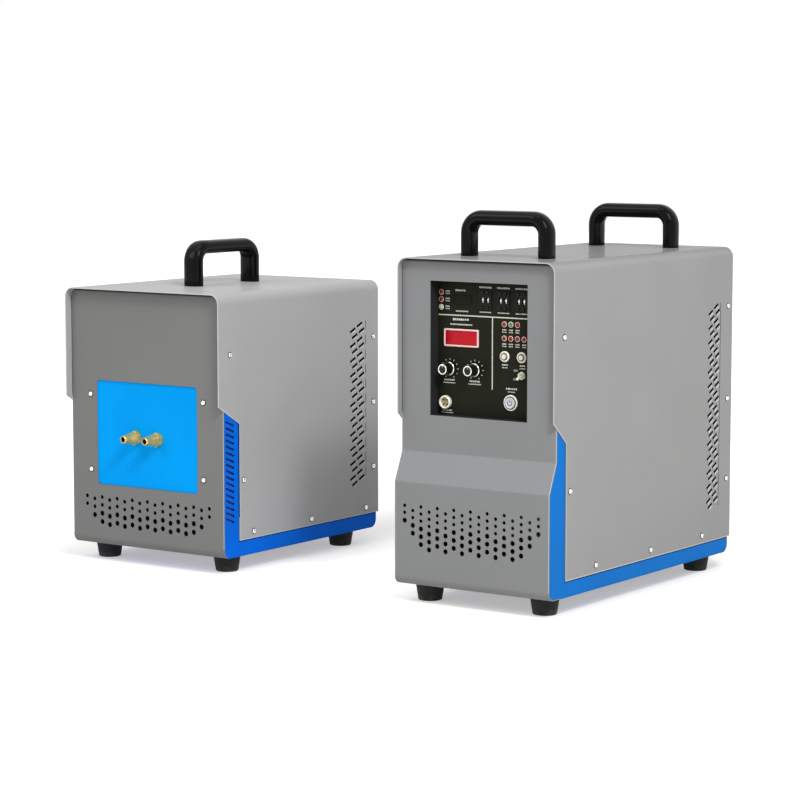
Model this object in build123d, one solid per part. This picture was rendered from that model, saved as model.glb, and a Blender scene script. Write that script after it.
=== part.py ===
"""Split induction furnace for melting gold: a power cabinet and a heating head on one bench.

Each case is a chassis of bent sheet between two side plates, under a U-shaped cover that reaches
past the front panel as a hood. The controls of the power cabinet stand in a box sunk behind its
front. The heating head holds the transformer, whose two brass connectors take the melting coil.

Sizes are in millimetres. Each case is drawn in a frame of its own: x from its middle, y back from
the front edge of its hood, z up from the bench. The origin of the whole is on the bench, under the
middle of the pair.
"""

import os
from math import atan, cos, degrees, pi, radians, sin

from build123d import *

# ------------------------------------------------------------------ sheet and clearances
SHEET = 1.5              # every bent panel and cover
BEND = 12.0              # lower corners of a chassis, outside
CREASE = 5.0             # folds of the bulge
CHASSIS_CORNER = 3.0     # upper folds of a chassis
FLANGE = 22.0            # edges that are folded in at the top
FIT = 0.25               # between flat pieces that slide together
RUN = 0.05               # round a shaft, button or lever, on the radius
SLIDE = 0.12             # round a square key, on each side

# ------------------------------------------------------------------ both cases
COVER_CORNER = 14.0
FOOT_HEIGHT = 24.0
FOOT_TOP_RADIUS = 19.5
FOOT_BOTTOM_RADIUS = 16.0
FOOT_HOLLOW = 9.0        # radius of the hollow in its underside
FOOT_BOLT_DEPTH = 12.0   # of the hollow
FOOT_FROM_SIDE = 32.0
REAR_INSET = 4.0         # of the back wall, from the cover's rear edge
VENT_MARGIN = 6.0        # of a side plate's window, round the cover's slots
RETURN = 20.0            # where the front panel's folded edge meets the tray
CASE_GAP = 300.0         # between the two cases
HEAD_FORWARD = 6.0       # of the head's hood, before the power cabinet's

# ------------------------------------------------------------------ power cabinet
MAIN_WIDTH = 245.0
MAIN_DEPTH = 482.0
MAIN_HEIGHT = 437.0      # without feet and handles
MAIN_HOOD = 9.0          # from the cover's edge back to the front panel
NOSE = 8.0               # of the bulge, before the cover's edge
BULGE_TOP = 179.0        # start of the slope, above the underside
BULGE_SLOPE = 40.0       # height of the slope
MAIN_SKIRT = 22.0        # bare strip below the cover
MAIN_NOTCH = 31.0        # the cover is cut back so far from the front
MAIN_NOTCH_TOP = 230.0
MAIN_NOTCH_RISE = 28.0
MAIN_FEET_FRONT = 32.0
MAIN_FEET_REAR = 42.0    # from the rear edge

# ------------------------------------------------------------------ heating head
HEAD_WIDTH = 285.0
HEAD_DEPTH = 384.0
HEAD_HEIGHT = 375.0
HEAD_HOOD = 12.0
HEAD_SKIRT = 23.0
HEAD_NOTCH = 46.0
HEAD_NOTCH_TOP = 217.0
HEAD_NOTCH_RISE = 27.0
HEAD_FEET_FRONT = 56.0
HEAD_FEET_REAR = 54.0

# ------------------------------------------------------------------ few sides for what repeats
HOLE_SIDES = 8           # punched holes, screws and their holes
LAMP_SIDES = 12
HOSE_SIDES = 12
GRIP_SIDES = 12          # section of a handle
ROUND_SIDES = 24         # knobs, feet and collars

# ------------------------------------------------------------------ holes for air
HOLE_COLUMNS = 17
MAIN_FINE_HOLE = 2.6     # radius, upper rows
MAIN_WIDE_HOLE = 3.6     # radius, lower rows
MAIN_HOLE_PITCH = 13.1   # across
MAIN_FINE_ROW = 9.5      # down
MAIN_WIDE_ROW = 10.5
MAIN_HOLE_STAGGER = 5.9  # of every second column, down
MAIN_HOLE_TOP = 107.3    # above the underside
MAIN_HOLE_COUNTS = ((2, 1), (2, 2), (3, 3))     # fine and wide: first column, second, inner ones
HEAD_FINE_HOLE = 3.0
HEAD_WIDE_HOLE = 4.0
HEAD_HOLE_PITCH = 14.3
HEAD_FINE_ROW = 11.5
HEAD_WIDE_ROW = 12.3
HEAD_HOLE_STAGGER = 3.3
HEAD_HOLE_TOP = 70.4
HEAD_HOLE_COUNTS = ((2, 0), (2, 1), (2, 2))
VENT_WIDTH = 3.8
VENTS_IN_ROW = 2
MAIN_VENT_ROWS = 28
MAIN_VENT_ROW = 10.25    # down, from one row to the next
MAIN_VENT_TOP = 344.2    # front end of the highest slot, above the underside
MAIN_VENT_FRONT = 411.6
MAIN_VENT_LENGTH = 13.6
MAIN_VENT_STEP = 17.8    # along the slope, from one slot to the next
MAIN_VENT_SHIFT = 5.2    # of every second row, along the slope
MAIN_VENT_SLOPE = 27.0   # degrees, rising to the rear
HEAD_VENT_ROWS = 22
HEAD_VENT_ROW = 11.1
HEAD_VENT_TOP = 300.6
HEAD_VENT_FRONT = 312.1
HEAD_VENT_LENGTH = 14.8
HEAD_VENT_STEP = 18.8
HEAD_VENT_SHIFT = 5.4
HEAD_VENT_SLOPE = 23.5
SIDE_SLOTS = 17          # in the head's side plates, behind the notch
SIDE_SLOT_LENGTH = 20.0
SIDE_SLOT_WIDTH = 3.4
SIDE_SLOT_SLOPE = -21.0
SIDE_SLOT_ROW = 8.6
SIDE_SLOT_LOW = 54.0
SIDE_SLOT_FRONT = 16.0

# ------------------------------------------------------------------ screws
SCREW_HEAD = 3.6         # radius
SCREW_BEVEL = 1.3        # round the head
SCREW_HEAD_HEIGHT = 2.2
SCREW_SHANK = 2.0        # radius
SCREW_LENGTH = 8.0
BOLT_SHANK = 3.0
BOLT_HEAD = 5.5
BOLT_HEAD_HEIGHT = 4.0
BOLT_GRIP = 12.0         # length inside a handle
BOLT_BEYOND = 6.0        # length of a foot's bolt above the floor of the case
MAIN_FRONT_SCREWS = ((24.0, 340.5), (40.5, 139.0))      # y, height above the underside
MAIN_REAR_SCREWS = (354.0, 222.0, 107.0)
MAIN_LOW_SCREW = 107.0   # y of the first in the lower row
MAIN_LOW_STEP = 146.0
HEAD_FRONT_SCREWS = ((25.6, 289.0), (55.3, 109.0))
HEAD_REAR_SCREWS = (291.0, 192.0, 94.0)
HEAD_LOW_SCREW = 77.5
HEAD_LOW_STEP = 137.0
LOW_SCREWS = 3
LOW_SCREW_HEIGHT = 33.0
REAR_SCREW_INSET = 13.0

# ------------------------------------------------------------------ handles
GRIP_THICK = 20.2
MAIN_GRIP_WIDE = 25.5
HEAD_GRIP_WIDE = 30.0
GRIP_BEND = 20.5         # centre line
MAIN_HANDLE_SPAN = 121.0
MAIN_HANDLE_RISE = 61.3
MAIN_HANDLE_FRONT = 80.0
MAIN_HANDLE_REAR = 70.5  # from the rear edge
HEAD_HANDLE_SPAN = 132.0
HEAD_HANDLE_RISE = 66.2
HEAD_HANDLE_MIDDLE = 187.0

# ------------------------------------------------------------------ control box and panel
WINDOW_WIDTH = 152.0
WINDOW_HEIGHT = 178.5
WINDOW_DROP = 30.0       # below the case's top
BOX_DEPTH = 19.0         # from the front panel's face to the control panel's face
BOX_WALL = 1.2
BOX_FLANGE = 8.0
PANEL_THICK = 2.0
METER_X = -38.3
METER_Z = 13.8
METER_WIDTH = 54.5
METER_HEIGHT = 23.7
METER_BORDER = 2.4
METER_BEVEL = 0.8
METER_PROUD = 2.0
TIMER_X = -37.0
TIMER_Z = 64.0
TIMER_WIDTH = 34.0
TIMER_HEIGHT = 17.0
LENS_THICK = 3.0
LAMP_RADIUS = 2.7
LAMP_COLLAR = 3.9
LAMP_COLLAR_THICK = 0.8
LAMP_BEVEL = 1.1
LAMP_PROUD = 1.6         # of the lens, past its collar
LAMP_DEPTH = 7.0
LAMP_COLUMN = (-70.5, (73.5, 63.8, 53.6))               # x, heights from the panel's middle
LAMP_ROW_X = 28.5
LAMP_ROW_PITCH = 10.2
UPPER_LAMPS = (3, 35.0)                                 # how many, height
LOWER_LAMPS = (4, 16.5)
KNOB_X = -37.0           # middle of the two knobs
KNOB_Z = -27.5
KNOB_PITCH = 39.6
KNOB_SKIRT = 9.2
KNOB_SKIRT_THICK = 4.0
KNOB_GAP = 0.5           # skirt to panel
KNOB_CAP = 7.6
KNOB_TOP = 7.0
KNOB_HEIGHT = 18.4
SPINDLE = 3.0
SPINDLE_DEPTH = 10.0     # behind the panel
POT_RADIUS = 8.5
KEY_BUTTON_Z = -7.2
KEY_BUTTON_X = (29.7, 55.9)                             # start, stop
BUTTON_RADIUS = 4.6
BUTTON_COLLAR = 7.2
COLLAR_BEVEL = 0.8
BUTTON_PROUD = 2.4
BUTTON_BEYOND = 1.5      # of the button, past its collar
BUTTON_DEPTH = 7.0       # behind the panel
BUTTON_BARREL = 6.2
BARREL_DEPTH = 14.0      # behind the panel
POWER_X = 39.3
POWER_Z = -67.5
POWER_RADIUS = 7.4
POWER_COLLAR = 10.6
POWER_BARREL = 9.4
TOGGLE_X = 56.0
TOGGLE_Z = -31.0
TOGGLE_BUSH = 4.2
TOGGLE_NUT = 5.6
TOGGLE_NUT_THICK = 2.0
TOGGLE_PROUD = 4.5
TOGGLE_DEPTH = 6.0       # behind the panel
TOGGLE_REACH = 13.0
TOGGLE_TIP = 2.0
TOGGLE_ROOT = 1.3
TOGGLE_PIN = 1.5         # radius of its pivot
TOGGLE_PIN_LENGTH = 2.4
TOGGLE_BORE = 2.4
TOGGLE_TILT = 17.0       # each way
SOCKET_X = -62.5
SOCKET_Z = -72.5
SOCKET_RADIUS = 9.0
SOCKET_BODY = 7.5
SOCKET_DEPTH = 6.0       # behind the panel
SOCKET_BORE = 6.6
SOCKET_PROUD = 5.0
SOCKET_PIN = 0.8
SOCKET_PIN_CIRCLE = 4.2  # radius
SOCKET_PINS = 4

# ------------------------------------------------------------------ pushwheel setters
SETTER_NAMES = ("heat", "hold", "cool")
DIGIT_NAMES = ("tens", "units")
SETTER_X = 26.8          # of the middle setter
SETTER_Z = 65.3
SETTER_PITCH = 28.0
SETTER_WIDTH = 20.0
SETTER_HEIGHT = 27.0
SETTER_PROUD = 1.5
DIGIT_PITCH = 8.1
DIGIT_WINDOW = (4.2, 6.4)
WHEEL_RADIUS = 7.0       # to the corners of the ten faces
WHEEL_WIDTH = 5.4
WHEEL_GAP = 0.3
WHEEL_AXLE = 1.5
WHEEL_SETBACK = 8.6      # axle behind the setter's face
KEY_SIZE = 4.0
KEY_REACH = 9.9          # from the axle's height to the key's middle
KEY_PROUD = 1.2
KEY_LENGTH = 5.0
KEY_TRAVEL = 1.0

# ------------------------------------------------------------------ back of the power cabinet
BREAKER_X = 64.0
BREAKER_Z = 330.0        # heights on the back are above the underside
BREAKER_WIDTH = 54.0
BREAKER_HEIGHT = 80.0
BREAKER_DEPTH = 58.0
BREAKER_NOSE = 44.0      # height of the raised middle
BREAKER_NOSE_PROUD = 6.0
BREAKER_LEVER_WIDTH = 34.0
BREAKER_LEVER_REACH = 13.0
BREAKER_LEVER_RADIUS = 7.0
BREAKER_THROW = 50.0     # degrees, off to on
FAN_X = -46.0
FAN_Z = 330.0
FAN_SIZE = 120.0
FAN_DEPTH = 25.0
FAN_BORE = 56.0
FAN_ROTOR = 54.0
FAN_HUB = 20.0
FAN_PIN = 4.0
FAN_PIN_LENGTH = 15.0    # inside the rotor
FAN_SPIDER = 2.0         # thickness of the motor's plate and spokes
FAN_GAP = 1.5            # rotor to frame, along the axle
FAN_PITCH = 35.0         # degrees
FAN_BLADE_THICK = 1.8
FAN_BLADES = 7
FAN_GUARD_RINGS = (20.0, 32.0, 44.0)                   # radii of the punched guard
FAN_GUARD_WIDTH = 3.0
FAN_GUARD_SPOKES = 4
GLAND_SIDE = 34.5        # from the right side of the case
GLAND_Z = 52.0
GLAND_BORE = 8.0
GLAND_BODY = 12.5
GLAND_TIP = 10.0
GLAND_NUT = 16.0
GLAND_NUT_THICK = 7.0
GLAND_INSIDE = 8.0
GLAND_LENGTH = 22.0

# ------------------------------------------------------------------ hose ports
PORT_BORE = 3.0
PORT_BARB = 6.0
PORT_RIDGE = 1.2         # height of a ridge
PORT_THREAD = 6.5
PORT_NUT = 10.5          # radius to the corners
PORT_NUT_THICK = 5.0
PORT_LENGTH = 30.0       # from the back wall
PORT_RIDGES = 3
PORT_INSIDE = 12.0
MAIN_PORTS = ((-88.0, 52.0), (-52.0, 52.0), (-10.0, 52.0), (26.0, 52.0))   # x, height
HEAD_PORTS = ((-60.0, 150.0), (60.0, 150.0), (-60.0, 60.0), (60.0, 60.0))

# ------------------------------------------------------------------ coil board and connectors
BOARD_OPENING = (187.0, 152.0)
BOARD_OPENING_CORNER = 5.5
BOARD_MIDDLE = 165.5     # above the underside
BOARD_MARGIN = 22.0
BOARD_THICK = 5.0
BOARD_SCREWS = (105.0, 55.0)                            # half spacing, x and z
CONNECTOR_PITCH = 40.0
CONNECTOR_DROP = 3.5     # below the board's middle
CONNECTOR_REACH = 29.0   # past the front panel's face
CONNECTOR_NUT = 11.0     # radius to the corners
CONNECTOR_NUT_LENGTH = 15.0
CONNECTOR_TIP = 6.6
CONNECTOR_BODY = 7.8
CONNECTOR_BORE = 4.0
CONNECTOR_BORE_DEPTH = 34.0
CONNECTOR_TAIL = 18.0    # behind the board

# ------------------------------------------------------------------ inside the power cabinet
COLD_PLATE = (150.0, 230.0, 18.0)
COLD_PLATE_FRONT = 150.0
STANDOFF_HEIGHT = 40.0
STANDOFF_RADIUS = 6.0
MODULE = (106.0, 62.0, 30.0)
MODULES = 3
MODULE_PITCH = 72.0
BOARD_PCB = (120.0, 150.0, 1.6)
PCB_GAP = 1.0

# ------------------------------------------------------------------ inside the heating head
CORE = (130.0, 60.0, 110.0)
CORE_WINDOW = (66.0, 54.0)
CORE_FRONT = 66.0
WINDING_WALL = 9.0
BUS_THICK = 5.0
BUS_WIDTH = 26.0
CAPACITOR = (48.0, 60.0, 90.0)
CAPACITORS = 4
CAPACITOR_PITCH = 54.0
CAPACITOR_FRONT = 200.0

# ------------------------------------------------------------------ places worked out
GLAND_X = MAIN_WIDTH / 2 - GLAND_SIDE
MAIN_VENTS = (MAIN_VENT_ROWS, MAIN_VENT_ROW, MAIN_VENT_FRONT, MAIN_VENT_TOP,
              MAIN_VENT_LENGTH, MAIN_VENT_STEP, MAIN_VENT_SHIFT, MAIN_VENT_SLOPE)
HEAD_VENTS = (HEAD_VENT_ROWS, HEAD_VENT_ROW, HEAD_VENT_FRONT, HEAD_VENT_TOP,
              HEAD_VENT_LENGTH, HEAD_VENT_STEP, HEAD_VENT_SHIFT, HEAD_VENT_SLOPE)
MAIN_HOLES = (MAIN_HOLE_PITCH, (MAIN_FINE_HOLE, MAIN_WIDE_HOLE), (MAIN_FINE_ROW, MAIN_WIDE_ROW),
              MAIN_HOLE_STAGGER, MAIN_HOLE_TOP, MAIN_HOLE_COUNTS)
HEAD_HOLES = (HEAD_HOLE_PITCH, (HEAD_FINE_HOLE, HEAD_WIDE_HOLE), (HEAD_FINE_ROW, HEAD_WIDE_ROW),
              HEAD_HOLE_STAGGER, HEAD_HOLE_TOP, HEAD_HOLE_COUNTS)
LEVEL = FOOT_HEIGHT                                     # underside of both cases
MAIN_TOP = LEVEL + MAIN_HEIGHT
HEAD_TOP = LEVEL + HEAD_HEIGHT
MAIN_BACK = MAIN_DEPTH - REAR_INSET
HEAD_BACK = HEAD_DEPTH - REAR_INSET
WINDOW_Z = MAIN_TOP - WINDOW_DROP - WINDOW_HEIGHT / 2
PANEL_Y = MAIN_HOOD + BOX_DEPTH
BOARD_Z = LEVEL + BOARD_MIDDLE
CONNECTOR_Z = BOARD_Z - CONNECTOR_DROP
BOARD_Y = HEAD_HOOD + SHEET
PAIR_WIDTH = HEAD_WIDTH + CASE_GAP + MAIN_WIDTH
MAIN_X = PAIR_WIDTH / 2 - MAIN_WIDTH / 2
HEAD_X = HEAD_WIDTH / 2 - PAIR_WIDTH / 2
PAIR_FRONT = min(-NOSE, HEAD_HOOD - CONNECTOR_REACH - HEAD_FORWARD)
PAIR_REAR = max(MAIN_BACK, HEAD_BACK - HEAD_FORWARD) + PORT_LENGTH
MAIN_Y = -(PAIR_FRONT + PAIR_REAR) / 2
HEAD_Y = MAIN_Y - HEAD_FORWARD
MAIN_PLACE = Pos(MAIN_X, MAIN_Y, 0)
HEAD_PLACE = Pos(HEAD_X, HEAD_Y, 0)
FRONT = (0, -1, 0)
REAR = (0, 1, 0)
UP = (0, 0, 1)
FROM_BASE = (Align.CENTER, Align.CENTER, Align.MIN)


# ------------------------------------------------------------------ small helpers
def block(x, y, z):
    """A box between two corners, given as three (low, high) pairs."""
    size = [high - low for low, high in (x, y, z)]
    middle = [(low + high) / 2 for low, high in (x, y, z)]
    return Pos(*middle) * Box(*size)


def rod(radius, start, direction, length):
    """A cylinder from a point along a direction."""
    return Plane(origin=start, z_dir=direction) * Cylinder(radius, length, align=FROM_BASE)


def prism(radius, sides, start, direction, length, bevel=0):
    """A regular prism from a point along a direction, its corners at a radius, its far end bevelled."""
    body = extrude(Plane(origin=start, z_dir=direction) * RegularPolygon(radius, sides), amount=length)
    if not bevel:
        return body
    return chamfer(body.faces().sort_by(Axis(start, direction))[-1].edges(), bevel)


def tapered(radius, tip, sides, start, direction, length):
    """A regular prism from a point along a direction, widening or narrowing to its tip."""
    change = (radius - tip) * cos(pi / sides)
    face = Plane(origin=start, z_dir=direction) * RegularPolygon(radius, sides)
    return extrude(face, amount=length, taper=degrees(atan(change / length)))


def front_plane(x, y, z):
    """A plane that faces the front, with its own x to the right and its y up."""
    return Plane(origin=(x, y, z), x_dir=(1, 0, 0), z_dir=FRONT)


def turned(profile, start, direction):
    """A solid turned from (radius, height) corners, standing on a point along a direction."""
    face = Plane.XZ * make_face(Polyline(*profile, close=True))
    return Plane(origin=start, z_dir=direction) * revolve(face, Axis.Z)


def side_face(corners, radii):
    """A face in the side view, from (y, z) corners with a radius at each."""
    return Plane.YZ * make_face(FilletPolyline(*corners, radius=radii, close=True))


def side_box(y, z):
    """A rectangle in the side view, between two (low, high) pairs."""
    corners = [(y[0], z[0]), (y[1], z[0]), (y[1], z[1]), (y[0], z[1])]
    return Plane.YZ * make_face(Polyline(*corners, close=True))


def front_face(width, bottom, top, corner):
    """A face in the front view, with its two upper corners rounded."""
    half = width / 2
    corners = [(-half, bottom), (-half, top), (half, top), (half, bottom)]
    return Plane.XZ * make_face(FilletPolyline(*corners, radius=[0, corner, corner, 0], close=True))


def both_sides(shape):
    """A shape and its mirror image across the middle of the case."""
    return [shape, mirror(shape, about=Plane.YZ)]


def group(solids):
    """Separate solids that share one node."""
    return Compound(children=list(solids))


# ------------------------------------------------------------------ chassis
def main_outline():
    """Side view of the power cabinet's chassis, with the bulge at its lower front."""
    top = MAIN_TOP - SHEET - FIT
    slope_top = LEVEL + BULGE_TOP
    slope_low = slope_top - BULGE_SLOPE
    corners = [(MAIN_HOOD, top), (MAIN_HOOD, slope_top), (-NOSE, slope_low),
               (-NOSE, LEVEL), (MAIN_BACK, LEVEL), (MAIN_BACK, top)]
    return side_face(corners, [CHASSIS_CORNER, CREASE, CREASE, BEND, BEND, CHASSIS_CORNER])


def head_outline():
    """Side view of the heating head's chassis."""
    top = HEAD_TOP - SHEET - FIT
    corners = [(HEAD_HOOD, top), (HEAD_HOOD, LEVEL), (HEAD_BACK, LEVEL), (HEAD_BACK, top)]
    return side_face(corners, [CHASSIS_CORNER, BEND, BEND, CHASSIS_CORNER])


def under_cover(width, depth, top):
    """The space inside a cover, which rounds the upper corners of what stands in it."""
    face = front_face(width - 2 * SHEET, 0, top - SHEET - FIT, COVER_CORNER)
    return extrude(face, amount=depth + BEND, both=True)


def bent_front(outline, width, depth, top):
    """The front panel: the chassis sheet from its top flange to its folded lower edge."""
    sheet = (outline - offset(outline, amount=-SHEET)) & side_box((-depth, RETURN), (0, top))
    return extrude(sheet, amount=width / 2 - SHEET, both=True) & under_cover(width, depth, top)


def bent_tray(outline, width, depth, top):
    """The tray: the chassis sheet that is the floor and the back wall."""
    back = depth - REAR_INSET
    floor = side_box((RETURN, back - BEND), (0, LEVEL + BEND))
    wall = side_box((back - FLANGE, depth), (0, top))
    sheet = (outline - offset(outline, amount=-SHEET)) & (floor + wall)
    return extrude(sheet, amount=width / 2 - SHEET, both=True) & under_cover(width, depth, top)


def side_plate(outline, width, depth, top, vent_band):
    """The right side plate, inside the chassis sheet, with a window behind the cover's slots."""
    front, rear, low, high = vent_band
    plate = offset(outline, amount=-SHEET - FIT)
    plate &= side_box((-depth, depth), (0, top - SHEET - COVER_CORNER))
    window = side_face([(front, low), (rear, low), (rear, high), (front, high)], [VENT_MARGIN] * 4)
    return Pos(width / 2 - 2 * SHEET, 0, 0) * extrude(plate - window, amount=SHEET)


def vent_band(rows, row, front, top, length, step, shift, slope):
    """(front, rear, low, high) round a band of slanted slots."""
    along = length + step * (VENTS_IN_ROW - 1) + shift
    high = LEVEL + top + along * sin(radians(slope))
    low = LEVEL + top - row * (rows - 1)
    rear = front + along * cos(radians(slope))
    return front - VENT_MARGIN, rear + VENT_MARGIN, low - VENT_MARGIN, high + VENT_MARGIN


# ------------------------------------------------------------------ screws and their places
def main_screw_places():
    """(y, z) of the cover screws on one side of the power cabinet."""
    rear = MAIN_DEPTH - REAR_SCREW_INSET
    places = [(y, LEVEL + height) for y, height in MAIN_FRONT_SCREWS]
    places += [(rear, LEVEL + height) for height in MAIN_REAR_SCREWS]
    places += [(MAIN_LOW_SCREW + MAIN_LOW_STEP * i, LEVEL + LOW_SCREW_HEIGHT)
               for i in range(LOW_SCREWS)]
    return places


def head_screw_places():
    """(y, z) of the cover screws on one side of the heating head."""
    rear = HEAD_DEPTH - REAR_SCREW_INSET
    places = [(y, LEVEL + height) for y, height in HEAD_FRONT_SCREWS]
    places += [(rear, LEVEL + height) for height in HEAD_REAR_SCREWS]
    places += [(HEAD_LOW_SCREW + HEAD_LOW_STEP * i, LEVEL + LOW_SCREW_HEIGHT)
               for i in range(LOW_SCREWS)]
    return places


def pan_screw(seat, direction):
    """A screw with its head on a seat, pointing outwards along a direction."""
    head = prism(SCREW_HEAD, HOLE_SIDES, seat, direction, SCREW_HEAD_HEIGHT, SCREW_BEVEL)
    inner_end = Vector(*seat) - Vector(*direction) * SCREW_LENGTH
    return head + prism(SCREW_SHANK, HOLE_SIDES, inner_end, direction, SCREW_LENGTH)


def bolt(seat, direction, grip):
    """A hexagon bolt whose head is under a seat, its shank pointing along a direction."""
    axis = Vector(*direction)
    shank = prism(BOLT_SHANK, HOLE_SIDES, seat, direction, grip)
    return shank + prism(BOLT_HEAD, 6, seat, axis * -1, BOLT_HEAD_HEIGHT)


def screw_hole(start, direction, length):
    """Cutter for a screw's shank."""
    return prism(SCREW_SHANK + FIT, HOLE_SIDES, start, direction, length)


def side_screw_holes(places, width):
    """Cutters for the cover screws of both sides."""
    return [screw_hole((-width, y, z), (1, 0, 0), 2 * width) for y, z in places]


def bolt_holes(places, z, length):
    """Cutters for upright bolts, from a height up."""
    return [prism(BOLT_SHANK + FIT, HOLE_SIDES, (x, y, z), UP, length) for x, y in places]


# ------------------------------------------------------------------ covers
def vent_slots(width, rows, row, front, top, length, step, shift, slope):
    """Cutters for a band of slanted slots, through both sides of a cover."""
    slots = []
    for i in range(rows):
        for j in range(VENTS_IN_ROW):
            along = length / 2 + shift * (i % 2) + step * j
            y = front + along * cos(radians(slope))
            z = LEVEL + top - row * i + along * sin(radians(slope))
            slots.append(Pos(0, y, z) * Rot(slope, 0, 0) * Box(2 * width, length, VENT_WIDTH))
    return slots


def cover(width, depth, top, skirt, notch, notch_top, notch_rise):
    """A U-shaped cover, cut back at its lower front corners."""
    low = LEVEL + skirt
    outside = front_face(width, low, top, COVER_CORNER)
    inside = front_face(width - 2 * SHEET, low, top - SHEET, COVER_CORNER - SHEET)
    shell = extrude(outside - inside, amount=depth, dir=REAR)
    high = LEVEL + notch_top
    corner = [(-1, low - 1), (-1, high), (0, high), (notch, high - notch_rise), (notch, low - 1)]
    cut = Plane.YZ * make_face(Polyline(*corner, close=True))
    return shell - extrude(cut, amount=width, both=True)


def main_handle_bolts():
    """(x, y) of the four bolts of the power cabinet's handles."""
    half = MAIN_HANDLE_SPAN / 2
    rear = MAIN_DEPTH - MAIN_HANDLE_REAR
    return [(x, y) for y in (MAIN_HANDLE_FRONT, rear) for x in (-half, half)]


def head_handle_bolts():
    """(x, y) of the two bolts of the heating head's handle."""
    half = HEAD_HANDLE_SPAN / 2
    return [(0, HEAD_HANDLE_MIDDLE - half), (0, HEAD_HANDLE_MIDDLE + half)]


def main_cover():
    """Cover of the power cabinet, with a band of slots near its rear."""
    shell = cover(MAIN_WIDTH, MAIN_DEPTH, MAIN_TOP, MAIN_SKIRT,
                  MAIN_NOTCH, MAIN_NOTCH_TOP, MAIN_NOTCH_RISE)
    shell -= vent_slots(MAIN_WIDTH, *MAIN_VENTS)
    shell -= side_screw_holes(main_screw_places(), MAIN_WIDTH)
    return shell - bolt_holes(main_handle_bolts(), MAIN_TOP - 2 * SHEET, 3 * SHEET)


def head_cover():
    """Cover of the heating head, with a band of slots near its rear."""
    shell = cover(HEAD_WIDTH, HEAD_DEPTH, HEAD_TOP, HEAD_SKIRT,
                  HEAD_NOTCH, HEAD_NOTCH_TOP, HEAD_NOTCH_RISE)
    shell -= vent_slots(HEAD_WIDTH, *HEAD_VENTS)
    shell -= side_screw_holes(head_screw_places(), HEAD_WIDTH)
    return shell - bolt_holes(head_handle_bolts(), HEAD_TOP - 2 * SHEET, 3 * SHEET)


# ------------------------------------------------------------------ front panels and plates
def front_holes(face_y, pitch, radii, rows, stagger, top, counts):
    """Cutters for the punched holes of a front: staggered columns, shorter at both ends, wider below."""
    holes = []
    last = HOLE_COLUMNS - 1
    for column in range(HOLE_COLUMNS):
        x = (column - last / 2) * pitch
        z = LEVEL + top - stagger * (column % 2)
        fine, wide = counts[min(column, last - column, 2)]
        for i in range(fine + wide):
            place = (x, face_y - SHEET, z)
            holes.append(prism(radii[i >= fine], HOLE_SIDES, place, REAR, 4 * SHEET))
            z -= rows[i + 1 >= fine]
    return holes


def main_front_panel():
    """Front of the power cabinet: window above, bulge with punched holes below."""
    panel = bent_front(main_outline(), MAIN_WIDTH, MAIN_DEPTH, MAIN_TOP)
    half = WINDOW_WIDTH / 2
    panel -= block((-half, half), (0, MAIN_HOOD + 2 * SHEET),
                   (WINDOW_Z - WINDOW_HEIGHT / 2, WINDOW_Z + WINDOW_HEIGHT / 2))
    return panel - front_holes(-NOSE, *MAIN_HOLES)


def board_screw_places():
    """(x, z) of the four screws of the coil board."""
    x, z = BOARD_SCREWS
    return [(sx * x, BOARD_Z + sz * z) for sx in (-1, 1) for sz in (-1, 1)]


def head_front_panel():
    """Front of the heating head: an opening for the coil board, punched holes below."""
    panel = bent_front(head_outline(), HEAD_WIDTH, HEAD_DEPTH, HEAD_TOP)
    opening = RectangleRounded(*BOARD_OPENING, BOARD_OPENING_CORNER)
    panel -= extrude(front_plane(0, BOARD_Y + SHEET, BOARD_Z) * opening, amount=3 * SHEET)
    panel -= [screw_hole((x, 0, z), REAR, BOARD_Y + SHEET) for x, z in board_screw_places()]
    return panel - front_holes(HEAD_HOOD, *HEAD_HOLES)


def main_side_plates():
    """Both side plates of the power cabinet."""
    plate = side_plate(main_outline(), MAIN_WIDTH, MAIN_DEPTH, MAIN_TOP, vent_band(*MAIN_VENTS))
    plate -= side_screw_holes(main_screw_places(), MAIN_WIDTH)
    return group(both_sides(plate))


def head_side_plates():
    """Both side plates of the heating head, slotted behind the cover's notch."""
    plate = side_plate(head_outline(), HEAD_WIDTH, HEAD_DEPTH, HEAD_TOP, vent_band(*HEAD_VENTS))
    plate -= side_screw_holes(head_screw_places(), HEAD_WIDTH)
    for i in range(SIDE_SLOTS):
        z = LEVEL + SIDE_SLOT_LOW + SIDE_SLOT_ROW * i
        place = Pos(HEAD_WIDTH / 2, SIDE_SLOT_FRONT + SIDE_SLOT_LENGTH / 2, z)
        plate -= place * Rot(SIDE_SLOT_SLOPE, 0, 0) * Box(8 * SHEET, SIDE_SLOT_LENGTH, SIDE_SLOT_WIDTH)
    return group(both_sides(plate))


def guard_slots():
    """The air gaps of the fan's guard: rings left standing between four spokes."""
    gaps = Circle(FAN_BORE)
    half = FAN_GUARD_WIDTH / 2
    gaps -= Circle(FAN_GUARD_RINGS[0])
    gaps -= [Circle(radius + half) - Circle(radius - half) for radius in FAN_GUARD_RINGS[1:]]
    for i in range(FAN_GUARD_SPOKES):
        turn = Rot(0, 0, 45 + 360 / FAN_GUARD_SPOKES * i)
        gaps -= turn * Pos(FAN_BORE / 2, 0) * Rectangle(FAN_BORE + 1, FAN_GUARD_WIDTH)
    return gaps


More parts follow.
